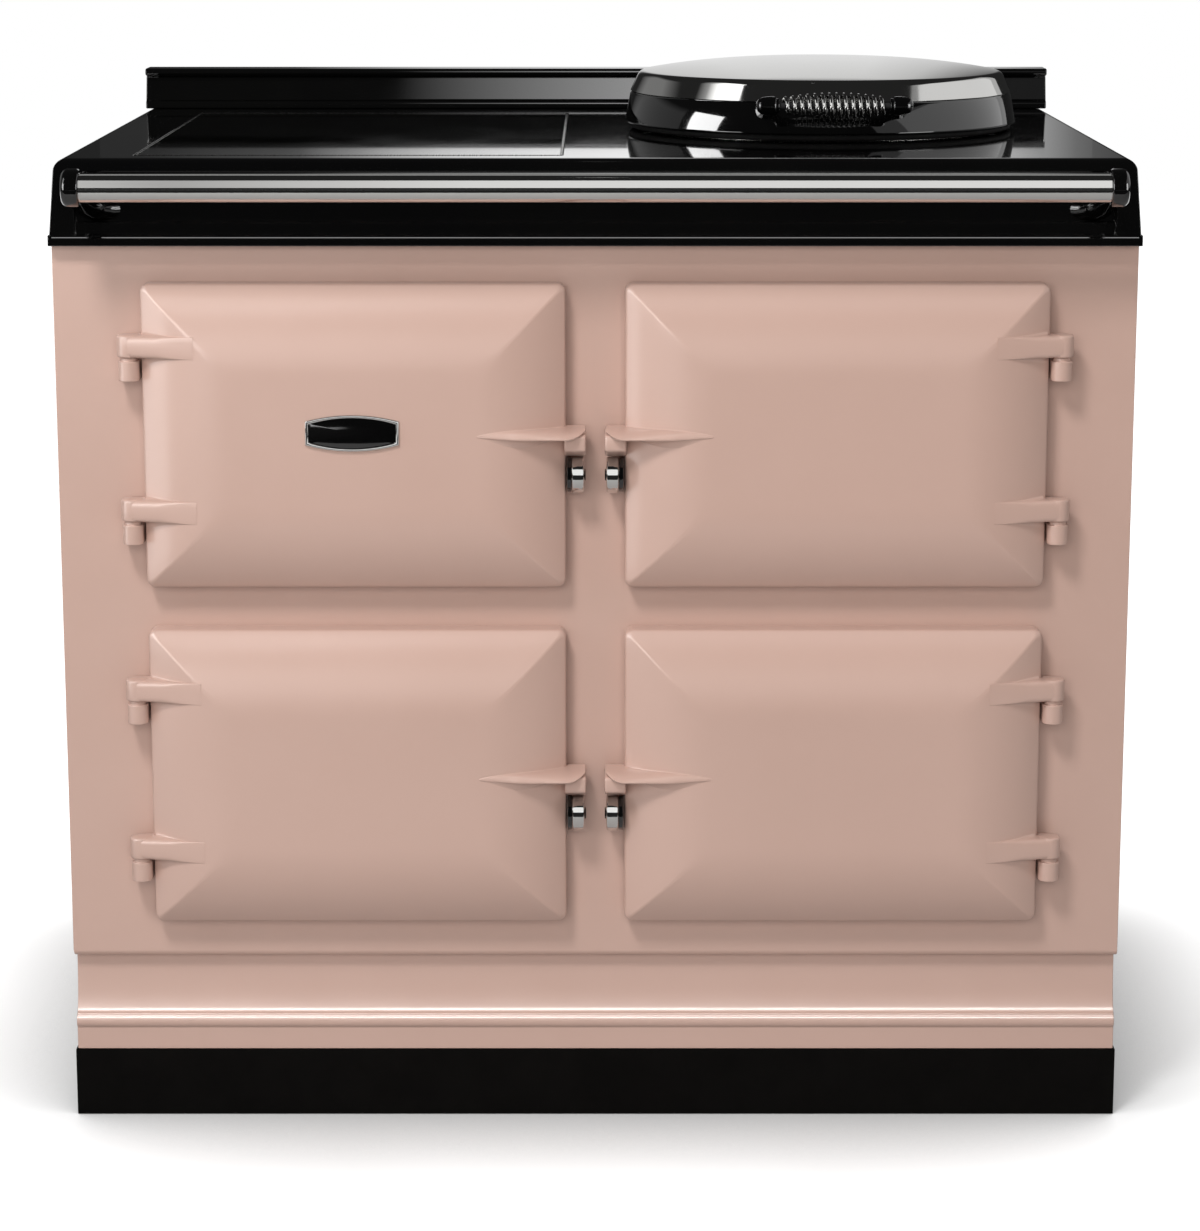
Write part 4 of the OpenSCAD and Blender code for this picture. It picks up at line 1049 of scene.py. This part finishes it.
def cap_profile():
    low, high = span("lid_cap")
    foot = (high.x - low.x) / 2
    bevel_top = high.z - CROWN_H
    top = foot - CAP_LEAN
    crown = lambda r: bevel_top + CROWN_H * (1 - (r / top) ** 2.7)
    shoulder = top - EDGE_R
    down = Vector((CAP_LEAN, low.z - bevel_top)).normalized() * EDGE_R
    outer = [(foot - 0.8, low.z), (foot, low.z + 0.8), (top + down.x, bevel_top + down.y)]
    outer += bend(outer[-1], (top, bevel_top + 0.2), (shoulder, crown(shoulder)), 8)
    outer += [(r, crown(r)) for r in (shoulder * (1 - k / 24) for k in range(1, 25))]
    inner = [(r * (1 - CAP_WALL / foot), z - CAP_WALL) for r, z in reversed(outer[3:])]
    return outer + inner + [(foot - CAP_WALL, low.z)]


def band_profile():
    low, high = span("lid_band")
    foot = (high.x - low.x) / 2
    top = foot - BAND_LEAN
    lean = BAND_LEAN / (high.z - low.z)
    side = lambda z: foot - lean * (z - low.z)
    low_edge = bend((foot - 2.4, low.z), (foot, low.z), (side(low.z + 2.4), low.z + 2.4), 5)
    groove = [(side(high.z - 2.2), high.z - 2.2), (side(high.z - 1.4) - 0.7, high.z - 1.4),
              (top - 0.9, high.z)]
    inner = top - BAND_WALL
    return [(inner, low.z), (foot - 2.4, low.z), *low_edge, *groove, (inner, high.z)]


def gasket_profile():
    low, _ = span("lid_band")
    return arc((GASKET_R, low.z - GASKET_DROP), GASKET_THICK, 200, 520, 12)


def lid():
    cap = dress("lid_cap_spun", turned(cap_profile(), on_lid, 192), CHROME, "lid_cap", sharp=50)
    band = dress("lid_band_turned", turned(band_profile(), on_lid, 192), BLACK, "lid_band", sharp=40)
    gasket = turned(gasket_profile(), on_lid, 160)
    return cap, band, dress("lid_gasket", gasket, RUBBER, "lid_band", stands_for=False, sharp=60)


print([piece.name for piece in lid()])

# %% [markdown]
# ## The hotplate
# The plate is a thick disc of grey iron, faced on a lathe, in a bright steel ring. The ring is
# rounded over and the disc has a chamfer, so a dark gap shows between them.

# %% Hotplate and ring
PLATE_CHAMFER = 1.2
RING_BORE = 164.3
RING_SEAT = 910.3


def hotplate():
    low, high = span("hotplate")
    rim = (high.x - low.x) / 2
    c = PLATE_CHAMFER
    profile = [(0, low.z), (rim - c, low.z), (rim, low.z + c), (rim, high.z - c), (rim - c, high.z),
               (0, high.z)]
    return dress("hotplate_faced", turned(profile, on_lid, 192), LATHE_IRON, "hotplate", sharp=30)


def hotplate_ring():
    low, high = span("hotplate_ring")
    outer = (high.x - low.x) / 2
    inner, flange = RING_BORE, RING_SEAT
    top = bend((outer, flange + 0.6), (outer, high.z), (outer - 2.4, high.z), 6)
    hem = bend((inner + 1.4, high.z), (inner, high.z), (inner, high.z - 1.4), 5)
    profile = [(outer, flange), (outer, flange + 0.6), *top, (inner + 1.4, high.z), *hem, (inner, low.z)]
    profile += [(inner + 4.7, low.z), (inner + 4.7, flange)]
    return dress("hotplate_ring_turned", turned(profile, on_lid, 192), BRUSHED, "hotplate_ring", sharp=50)


print(hotplate().name, hotplate_ring().name)

# %% [markdown]
# ## The coil handle
# The lid's handle is a sprung steel coil round a rod: it stays cool because air passes through
# it. Its turns swell towards the middle like a barrel. One formula gives the whole path.

# %% Coil handle
COIL_LENGTH = 96
COIL_TURNS = 14
WIRE_R = 2


def coil_path(steps=20):
    low, high = span("lid_handle_rod")
    y = (low.y + high.y) / 2
    z = (low.z + high.z) / 2
    count = steps * COIL_TURNS
    points = []
    for i in range(count + 1):
        u = 2 * i / count - 1
        radius = 6.5 + 4 * (1 - u * u)
        angle = 2 * math.pi * i / steps
        points.append((LID_X + u * COIL_LENGTH / 2, y + radius * math.cos(angle),
                       z + radius * math.sin(angle)))
    first = points[0]
    last = points[-1]
    return [(first[0] - 2 * WIRE_R, *first[1:]), *points, (last[0] + 2 * WIRE_R, *last[1:])]


dress("handle_coil", wire(coil_path(), WIRE_R, sides=12), CHROME, "lid_handle_coil", sharp=60)
print("coil path of", len(coil_path()), "points")

# %% [markdown]
# ## Oven shelves
# A shelf is welded from plated wire: two side bars on the oven's runners, three cross bars and
# a row of thinner ones. Each wire is round, with its ends turned off.

# %% Shelves
SHELF_BARS = 12


def shelf(node):
    low, high = span(node)
    z = (low.z + high.z) / 2
    thick = 2.4
    form = bmesh.new()
    left, right = low.x + thick, high.x - thick
    front, back = low.y + 0.4, high.y - 0.4
    for x in (left, right):
        wire([(x, front, z), (x, back, z)], thick, sides=16, form=form)
    for y in (front + 4, (front + back) / 2, back - 4):
        wire([(left, y, z), (right, y, z)], 2.1, sides=14, form=form)
    for i in range(1, SHELF_BARS):
        x = left + (right - left) * i / SHELF_BARS
        wire([(x, front + 2.5, z), (x, back - 2.5, z)], 1.8, sides=12, form=form)
    soften(form, 0.5, segments=2, angle=60)
    return dress(node + "_wires", form, WIRE, node, sharp=50)


print([shelf(node).name for node in ("shelf_roasting", "shelf_baking", "shelf_simmering")])

# %% [markdown]
# ## Controls
# Four knobs sit on a black panel behind the upper left door. A knob is turned with a fluted
# grip and a pointer. Plain tick marks stand round each knob, with a small lamp above it.

# %% Knobs
FLUTES = 24
KNOB_SEAT = 61.7
KNOB_LENGTH = 26


def knob(node):
    low, high = span(node)
    x, z = (low.x + high.x) / 2, (low.z + high.z) / 2
    back = face_y + KNOB_SEAT
    skirt = (high.x - low.x) / 2
    grip = skirt - 4
    front = back - KNOB_LENGTH
    # distance in front of the back face, radius, depth of the flutes
    stations = [(0, skirt - 0.8, 0), (0.8, skirt, 0), (4.6, skirt, 0), (5.6, skirt - 0.9, 0),
                (6, grip + 0.6, 0.2), (7.5, grip, 1), (22, grip - 0.6, 1), (24.4, grip - 1.2, 0.7),
                (25.6, grip - 2.4, 0.2), (26, grip - 4, 0)]
    angles = [2 * math.pi * i / (FLUTES * 6) for i in range(FLUTES * 6)]
    rows = []
    for out, radius, flute in stations:
        ring = [(a, radius - 0.55 * flute * (1 - math.cos(FLUTES * a))) for a in angles]
        rows.append([(x + r * math.cos(a), back - out, z + r * math.sin(a)) for a, r in ring])
    form = skin(bmesh.new(), rows)
    wire([(x, back, z), (x, back + 17, z)], 3, sides=16, form=form)
    piece = dress(node + "_turned", form, BRUSHED, node, sharp=50)
    edges = [(x - 1.4, front - 1.4), (x + 1.4, front - 1.4), (x + 1.4, front + 1), (x - 1.4, front + 1)]
    mark = lump(bmesh.new(), [[(u, v, h) for u, v in edges] for h in (z + 2, z + skirt - 6)], 0.4)
    dress(node + "_pointer", mark, PLASTIC, node, stands_for=False, sharp=50)
    return piece


print([knob(f"knob_{i}").name for i in (1, 2, 3, 4)])

# %% Tick marks and lamps
TICKS = 9
TICK_SWEEP = 270
TICK_R = 25
PANEL_IN = 62
LENS_UP = 50


def tick_marks():
    """Short raised bars round each knob, in one mesh."""
    form = bmesh.new()
    panel = face_y + PANEL_IN
    for i in (1, 2, 3, 4):
        low, high = span(f"knob_{i}")
        x, z = (low.x + high.x) / 2, (low.z + high.z) / 2
        for k in range(TICKS):
            a = math.radians(90 - TICK_SWEEP / 2 + TICK_SWEEP * k / (TICKS - 1))
            along = Vector((math.cos(a), 0, math.sin(a)))
            side = Vector((-math.sin(a), 0, math.cos(a)))
            middle = Vector((x, panel, z)) + along * TICK_R
            ring = [middle + along * p * 1.8 + side * q * 0.5
                    for p, q in ((-1, -1), (1, -1), (1, 1), (-1, 1))]
            skin(form, [ring, [point + Vector((0, -0.25, 0)) for point in ring]])
    return dress("dial_ticks", outward(form), PALE_PRINT, "control_fascia", stands_for=False)


def lamp_lenses():
    """Small domed lenses over the four lamps."""
    form = bmesh.new()
    panel = face_y + PANEL_IN - 2
    for i in (1, 2, 3, 4):
        low, high = span(f"knob_{i}")
        x, z = (low.x + high.x) / 2, (low.z + high.z) / 2 + LENS_UP
        dome = [(0, 0), (3.4, 0), (3.4, 0.7), *[(3.1 * math.cos(a), 0.7 + 1.6 * math.sin(a))
                for a in (math.radians(15 * k) for k in range(6))], (0, 2.3)]
        turned(dome, lambda u, v, h, x=x, z=z: (x + u, panel - h, z + v), steps=32, form=form)
    return dress("lamp_lenses", form, LENS, "control_fascia", stands_for=False, sharp=60)


print(tick_marks().name, lamp_lenses().name)

# %% [markdown]
# ## Screws on the back
# The back panel is held by a row of dome-headed screws along each edge.

# %% Back screws
SCREW_R = 4.2
SCREW_IN = 14


def back_screws():
    low, high = span("back_panel")
    form = bmesh.new()
    xs = [low.x + SCREW_IN + (high.x - low.x - 2 * SCREW_IN) * k / 6 for k in range(7)]
    zs = [low.z + SCREW_IN + (high.z - low.z - 2 * SCREW_IN) * k / 5 for k in range(6)]
    spots = [(x, z) for x in xs for z in (zs[0], zs[-1])]
    spots += [(x, z) for x in (xs[0], xs[-1]) for z in zs[1:-1]]
    dome = [(0, 0), (SCREW_R, 0), (SCREW_R, 0.5), *[(SCREW_R * math.cos(a), 0.5 + 1.9 * math.sin(a))
            for a in (math.radians(15 * k) for k in range(1, 6))], (1.6, 2.3), (1.2, 1.2), (0, 1.2)]
    for x, z in spots:
        turned(dome, lambda u, v, h, x=x, z=z: (x + u, high.y + h, z + v), steps=24, form=form)
    return dress("back_screws", form, BRUSHED, "back_panel", stands_for=False, sharp=40)


print(back_screws().name)

# %% [markdown]
# ## Finishes for the hidden parts
# Insulation, elements and windings stay as they are packed and only get their finish.

# %% Hidden parts
HIDDEN = {
    "oven_insulation": WOOL, "pad_upper_right": WOOL, "pad_lower_left": WOOL, "pad_lower_right": WOOL,
    "induction_coils": COPPER, "induction_tray": ZINC, "heating_elements": OVEN_IRON,
}
for node, finish in HIDDEN.items():
    data = frame["nodes"][node].data
    data.materials.clear()
    data.materials.append(finish)
print("finished", len(HIDDEN), "hidden parts")

# %% [markdown]
# ## The studio
# The photograph is a studio shot on white. Three things make it: lamps above, in front and to
# the left, a white surround, and dark cloth all round the front, because chrome and black enamel
# look like whatever they mirror. The white comes from the world and the floor, for the camera
# and for mirrored and refracted rays, and never from more light on the object. For soft light
# the world is dim, so that the bulging doors keep their shading.

# %% White surround
FILL = 0.15


def make_world(fill):
    """White where the camera or a mirror looks, dim as a source of soft light."""
    world = bpy.data.worlds.new("studio")
    bpy.context.scene.world = world
    world.use_nodes = True
    tree = world.node_tree
    tree.nodes.clear()
    path = add(tree, "LightPath").outputs
    seen = calc(tree, "MAXIMUM", path["Is Camera Ray"], path["Is Transmission Ray"])
    any_view = calc(tree, "MAXIMUM", seen, path["Is Glossy Ray"])
    soft = add(tree, "Background", Color=WHITE, Strength=fill)
    white = add(tree, "Background", Color=WHITE, Strength=1)
    add(tree, "OutputWorld", Surface=mixed(tree, any_view, soft, white))


make_world(FILL)
print("world ready, fill", FILL)

# %% [markdown]
# ## The floor
# A white paper sweep. Under the cooker's edge it is a plain diffuse surface that takes the soft
# contact shadow and throws light up at the doors; what the camera sees is lifted to white. The
# lift dips by ambient occlusion where the cooker stands close, a painted contact shadow laid over
# the real one. Behind the cooker mirrored rays see the paper white as well.

# %% Floor
FLOOR_HALF = 9000
PAPER = 0.5
# LIFT is the white lift; CONTACT (metres) and GRIP (a power) shape its dip by ambient occlusion near the
# cooker, which is a painted contact shadow
LIFT = 1.2
CONTACT = 0.3
GRIP = 2.4


def stage_object(name, form, finish):
    """A part of the studio: it is not a piece of the cooker."""
    mesh = bpy.data.meshes.new(name)
    form.to_mesh(mesh)
    form.free()
    mesh.materials.append(finish)
    mesh.shade_smooth()
    item = bpy.data.objects.new(name, mesh)
    bpy.context.scene.collection.objects.link(item)
    return item


def sheet(low, high):
    """A flat sheet between two pairs of points."""
    return skin(bmesh.new(), [low, high], closed_rows=False, caps=False)


def white_floor():
    finish, tree = new_finish("white_floor")
    apart = add(tree, "SeparateXYZ", Vector=own_place(tree)).outputs
    contact = add(tree, "AmbientOcclusion", Distance=CONTACT).outputs["AO"]
    # painted contact shadow: the white lift fades by ambient occlusion where the cooker stands close
    painted_contact_shadow = calc(tree, "MULTIPLY", calc(tree, "POWER", contact, GRIP), LIFT)
    behind = add(tree, "MapRange", Value=apart["Y"], From_Min=0.6, From_Max=2.4).outputs[0]
    path = add(tree, "LightPath").outputs
    seen = calc(tree, "MAXIMUM", path["Is Camera Ray"], path["Is Transmission Ray"])
    mirrored = calc(tree, "MULTIPLY", path["Is Glossy Ray"], behind)
    lift = calc(tree, "MULTIPLY", calc(tree, "MAXIMUM", seen, mirrored), painted_contact_shadow)
    paper = add(tree, "BsdfDiffuse", Color=(PAPER, PAPER, PAPER, 1)).outputs[0]
    glow = add(tree, "Emission", Color=WHITE, Strength=lift).outputs[0]
    return close(finish, feed_all(tree, add(tree, "AddShader"), (paper, glow)))


def make_floor():
    half = FLOOR_HALF
    form = outward(sheet([(-half, -half, 0), (half, -half, 0)], [(-half, half, 0), (half, half, 0)]))
    floor = stage_object("studio_floor", form, white_floor())
    floor.location.z = -0.5 * MM
    return floor


print(make_floor().name)

# %% [markdown]
# ## The dark tent
# A dome of dark cloth stands round the set. Only mirrored rays see it: it gives the enamel and
# the chrome their black. At the back it is open below a soft level edge, so that the hob and the
# lid mirror the white surround there. The opening fades out to the left and to the right, which
# is the soft gradient across the hob in the photograph.

# %% Tent
TENT_R = 6000
TENT_TOP = 3.6
TENT_SOFT = 0.5
TENT_BACK = 0.4
TENT_GREY = 0.02
OPENING = [(-3.2, 0.2), (-2.2, 0), (-1.2, 0.0), (-0.8, 0.06), (-0.42, 0.5), (-0.1, 0.66), (0.25, 0.78),
           (0.75, 0.76), (1.0, 0.6), (1.28, 0.1), (1.5, 0)]


def dark_cloth():
    finish, tree = new_finish("dark_cloth")
    apart = add(tree, "SeparateXYZ", Vector=own_place(tree)).outputs
    reach = TENT_R * MM
    across = add(tree, "MapRange", Value=apart["X"], From_Min=-reach, From_Max=reach).outputs[0]
    open_x = ramp(tree, across, [(0.5 + x / (2 * reach), level) for x, level in OPENING])
    open_z = add(tree, "MapRange", Value=apart["Z"], From_Min=TENT_TOP - TENT_SOFT, From_Max=TENT_TOP,
                 To_Min=1.0, To_Max=0.0).outputs[0]
    open_y = calc(tree, "GREATER_THAN", apart["Y"], TENT_BACK)
    opening = calc(tree, "MULTIPLY", calc(tree, "MULTIPLY", open_x, open_z), open_y)
    cloth = add(tree, "Emission", Color=WHITE, Strength=TENT_GREY)
    return close(finish, mixed(tree, opening, cloth, add(tree, "BsdfTransparent")))


def hide_from_all_but_mirrors(item):
    item.visible_camera = False
    item.visible_diffuse = False
    item.visible_transmission = False
    item.visible_shadow = False
    return item


def make_tent(rows=24, columns=64):
    """A half sphere over the set."""
    round_about = [2 * math.pi * i / columns for i in range(columns)]
    rings = []
    for k in range(rows):
        rise = math.radians(89.5 * k / (rows - 1))
        ring_r = TENT_R * math.cos(rise)
        rings.append([(ring_r * math.cos(a), ring_r * math.sin(a), TENT_R * math.sin(rise))
                      for a in round_about])
    form = skin(bmesh.new(), rings, caps=False)
    return hide_from_all_but_mirrors(stage_object("studio_tent", form, dark_cloth()))


def make_low_screen(y=-1700, top=620, half=4000):
    """A low dark screen on the floor in front: it draws the black line along the rail."""
    form = sheet([(-half, y, 0), (half, y, 0)], [(-half, y, top), (half, y, top)])
    return hide_from_all_but_mirrors(stage_object("low_screen", form, bpy.data.materials["dark_cloth"]))


print(make_tent().name, make_low_screen().name)

# %% [markdown]
# ## Lamps
# The key lamp is high on the left and small, so that hinge blocks and doors throw their shadows
# down and to the right. A broad fill stands in front, a tall soft box on the left, and a dim
# panel on the right keeps that side of the lid grey. Neither key nor fill shows in a mirror. The
# sheen on the pink enamel comes from lamps that add gloss only, so that its colour stays as it
# is written.

# %% Light panels
AT_DOORS = (0, -0.3, 0.5)
AT_RAIL = (0, -0.36, 0.89)
AT_LID = (0.22, 0.07, 0.95)
AT_BADGE = (-0.22, -0.33, 0.666)
LID_PIECES = ["lid_cap_spun", "lid_band_turned"]


def fade(lamp, stops):
    """Makes a lamp's brightness change across its width; stops run from 0 to 1."""
    lamp.data.use_nodes = True
    tree = lamp.data.node_tree
    place = add(tree, "NewGeometry").outputs["Parametric"]
    across = add(tree, "SeparateXYZ", Vector=place).outputs["X"]
    tree.links.new(ramp(tree, across, stops), tree.nodes["Emission"].inputs["Strength"])


def gather(name, pieces):
    """A collection of pieces, for light linking."""
    group = bpy.data.collections.new(name)
    for piece in pieces:
        group.objects.link(bpy.data.objects[piece])
    return group


def softbox(name, place, aim, width, height, radiance, reaches=None, stops=None, colour=(1, 1, 1)):
    """A glowing panel; radiance is how bright it looks, where 1 is white.
    It lights everything, or only the pieces that it reaches."""
    data = bpy.data.lights.new(name, "AREA")
    data.shape = "RECTANGLE"
    data.size = width
    data.size_y = height
    data.energy = radiance * math.pi * width * height
    data.color = colour
    lamp = bpy.data.objects.new(name, data)
    lamp.location = place
    lamp.rotation_euler = (Vector(aim) - Vector(place)).to_track_quat("-Z", "Y").to_euler()
    lamp.visible_camera = False
    bpy.context.scene.collection.objects.link(lamp)
    if stops:
        fade(lamp, stops)
    if reaches:
        lamp.light_linking.receiver_collection = gather(name + "_reaches", reaches)
    return lamp


meshes = [item for item in bpy.data.objects if item.type == "MESH" and item.data.materials]
pink = [item.name for item in meshes if item.data.materials[0] == PINK]
not_lid = [item.name for item in meshes if item.name not in LID_PIECES]

key = softbox("key_above_left", (-1.0, -2.4, 3.3), (0, -0.3, 0.45), 0.7, 0.7, 44)
front_fill = softbox("front_fill", (-0.3, -3.7, 1.5), AT_DOORS, 2.6, 1.6, 4.7, colour=(1, 0.975, 0.95))
for lamp in (key, front_fill):
    lamp.visible_glossy = False
softbox("box_left", (-2.5, -1.2, 2.0), (0, -0.1, 0.9), 0.9, 2.2, 2.0, not_lid)
softbox("panel_right", (2.4, 0.2, 1.7), AT_LID, 4.6, 1.8, 0.5)
for sheen in (
        softbox("sheen_above", (-1.0, -2.4, 3.3), (0, -0.3, 0.45), 1.2, 0.9, 3, pink),
        softbox("sheen_bank", (0, -1.5, 2.8), (0, -0.35, 0.5), 3.4, 1.2, 0.9, pink),
        softbox("sheen_left", (-2.4, -1.9, 1.5), (-0.2, -0.3, 0.6), 0.8, 1.6, 6, pink),
        softbox("sheen_for_rims", (-2.4, -0.95, 1.0), AT_DOORS, 1.2, 2.2, 3, pink),
        softbox("sheen_in_front", (-1.9, -3.2, 1.4), (-0.3, -0.3, 0.6), 1.6, 1.8, 4, pink),
        softbox("sheen_for_moulding", (-0.3, -2.2, 2.4), (0, -0.3, 0.12), 3.4, 0.7, 18,
                ["base_moulding_run"])):
    sheen.visible_diffuse = False
print("main lamps ready for", len(pink), "pink pieces")

# %% [markdown]
# Black enamel and chrome only show what they mirror. Each of the small lamps below stands where
# one piece or a small group mirrors it, and reaches nothing else. They are arranged after the
# photograph and aren't a set that could be built: the last one shines through the upstand.

# %% Lamps for single pieces
RAIL = ["hand_rail_dressed"]
ROLLED = [f"{node}_turned" for node in ROLLERS] + ["handle_coil"]
STREAKED = ["hob_casing_dressed", "rail_bracket_castings", "handle_post_castings", "upstand_run"]
HOB_TOP = ["hob_casing_dressed", "hob_glass_dressed"]

softbox("strip_for_rail", (0, -1.6, 1.74), AT_RAIL, 3.2, 1.72, 1.0, RAIL,
        [(0, 1.0), (0.22, 0.9), (0.32, 0.5), (0.45, 0.9), (1, 1.0)])
softbox("line_for_rail", (0, 1.2, 2.9), AT_RAIL, 3.2, 0.7, 0.4, RAIL)
softbox("panel_for_rollers", (0, -1.6, 1.2), AT_DOORS, 2.4, 0.95, 1.1, ROLLED)
softbox("window_for_band", (-2.43, -0.66, 1.55), (0.1, -0.08, 0.935), 1.05, 1.4, 11, ["lid_band_turned"])
softbox("glow_for_bevel", (-2.41, -0.56, 2.85), (0.1, -0.08, 0.955), 1.5, 1.3, 1.8, ["lid_cap_spun"],
        [(0, 0.0), (0.25, 0.2), (0.5, 1.0), (1, 1.0)])
softbox("panel_for_lid", (2.4, -0.3, 1.7), AT_LID, 5.6, 1.8, 0.3, LID_PIECES)
softbox("glow_for_upstand", (0.6, -1.6, 1.62), (0.4, 0.35, 0.94), 2.0, 0.9, 3.6, ["upstand_run"],
        [(0.03, 0.0), (0.25, 1.0), (0.42, 1.0), (0.49, 0.03)])
softbox("glow_for_badge", (-0.72, -3.3, 0.3), AT_BADGE, 0.5, 0.9, 4, ["badge_field"],
        [(0, 1.0), (0.5, 0.8), (1, 0.0)])
softbox("glow_for_badge_rim", (0, -2.0, 1.2), AT_BADGE, 3.4, 2.0, 0.9, ["badge_rim"])
softbox("line_for_drip_edge", (0, -0.75, 1.7), (0, -0.3, 0.83), 2.6, 0.5, 3, ["hob_drip_edge"])
for side, name in ((-1, "streak_left"), (1, "streak_right")):
    softbox(name, (2.3 * side, -1.5, 1.2), (0.49 * side, -0.3, 0.87), 1.0, 1.2, 5, STREAKED)

wall_glow = softbox("glow_behind_hob", (0, 0.42, 0.975), (0, 0, 0.96), 1.1, 0.1, 0.28, HOB_TOP,
                    [(0, 0.08), (0.12, 0.12), (0.3, 1.0), (0.5, 0.95), (0.6, 0.8), (0.67, 0.4),
                     (0.74, 0.1), (0.82, 0.03)])
wall_glow.light_linking.blocker_collection = gather("glow_behind_hob_blockers", LID_PIECES)

# %% [markdown]
# ## Last steps
# The view transform is plain, so colours render as they are written.

# %% View transform
bpy.context.scene.view_settings.view_transform = "Standard"
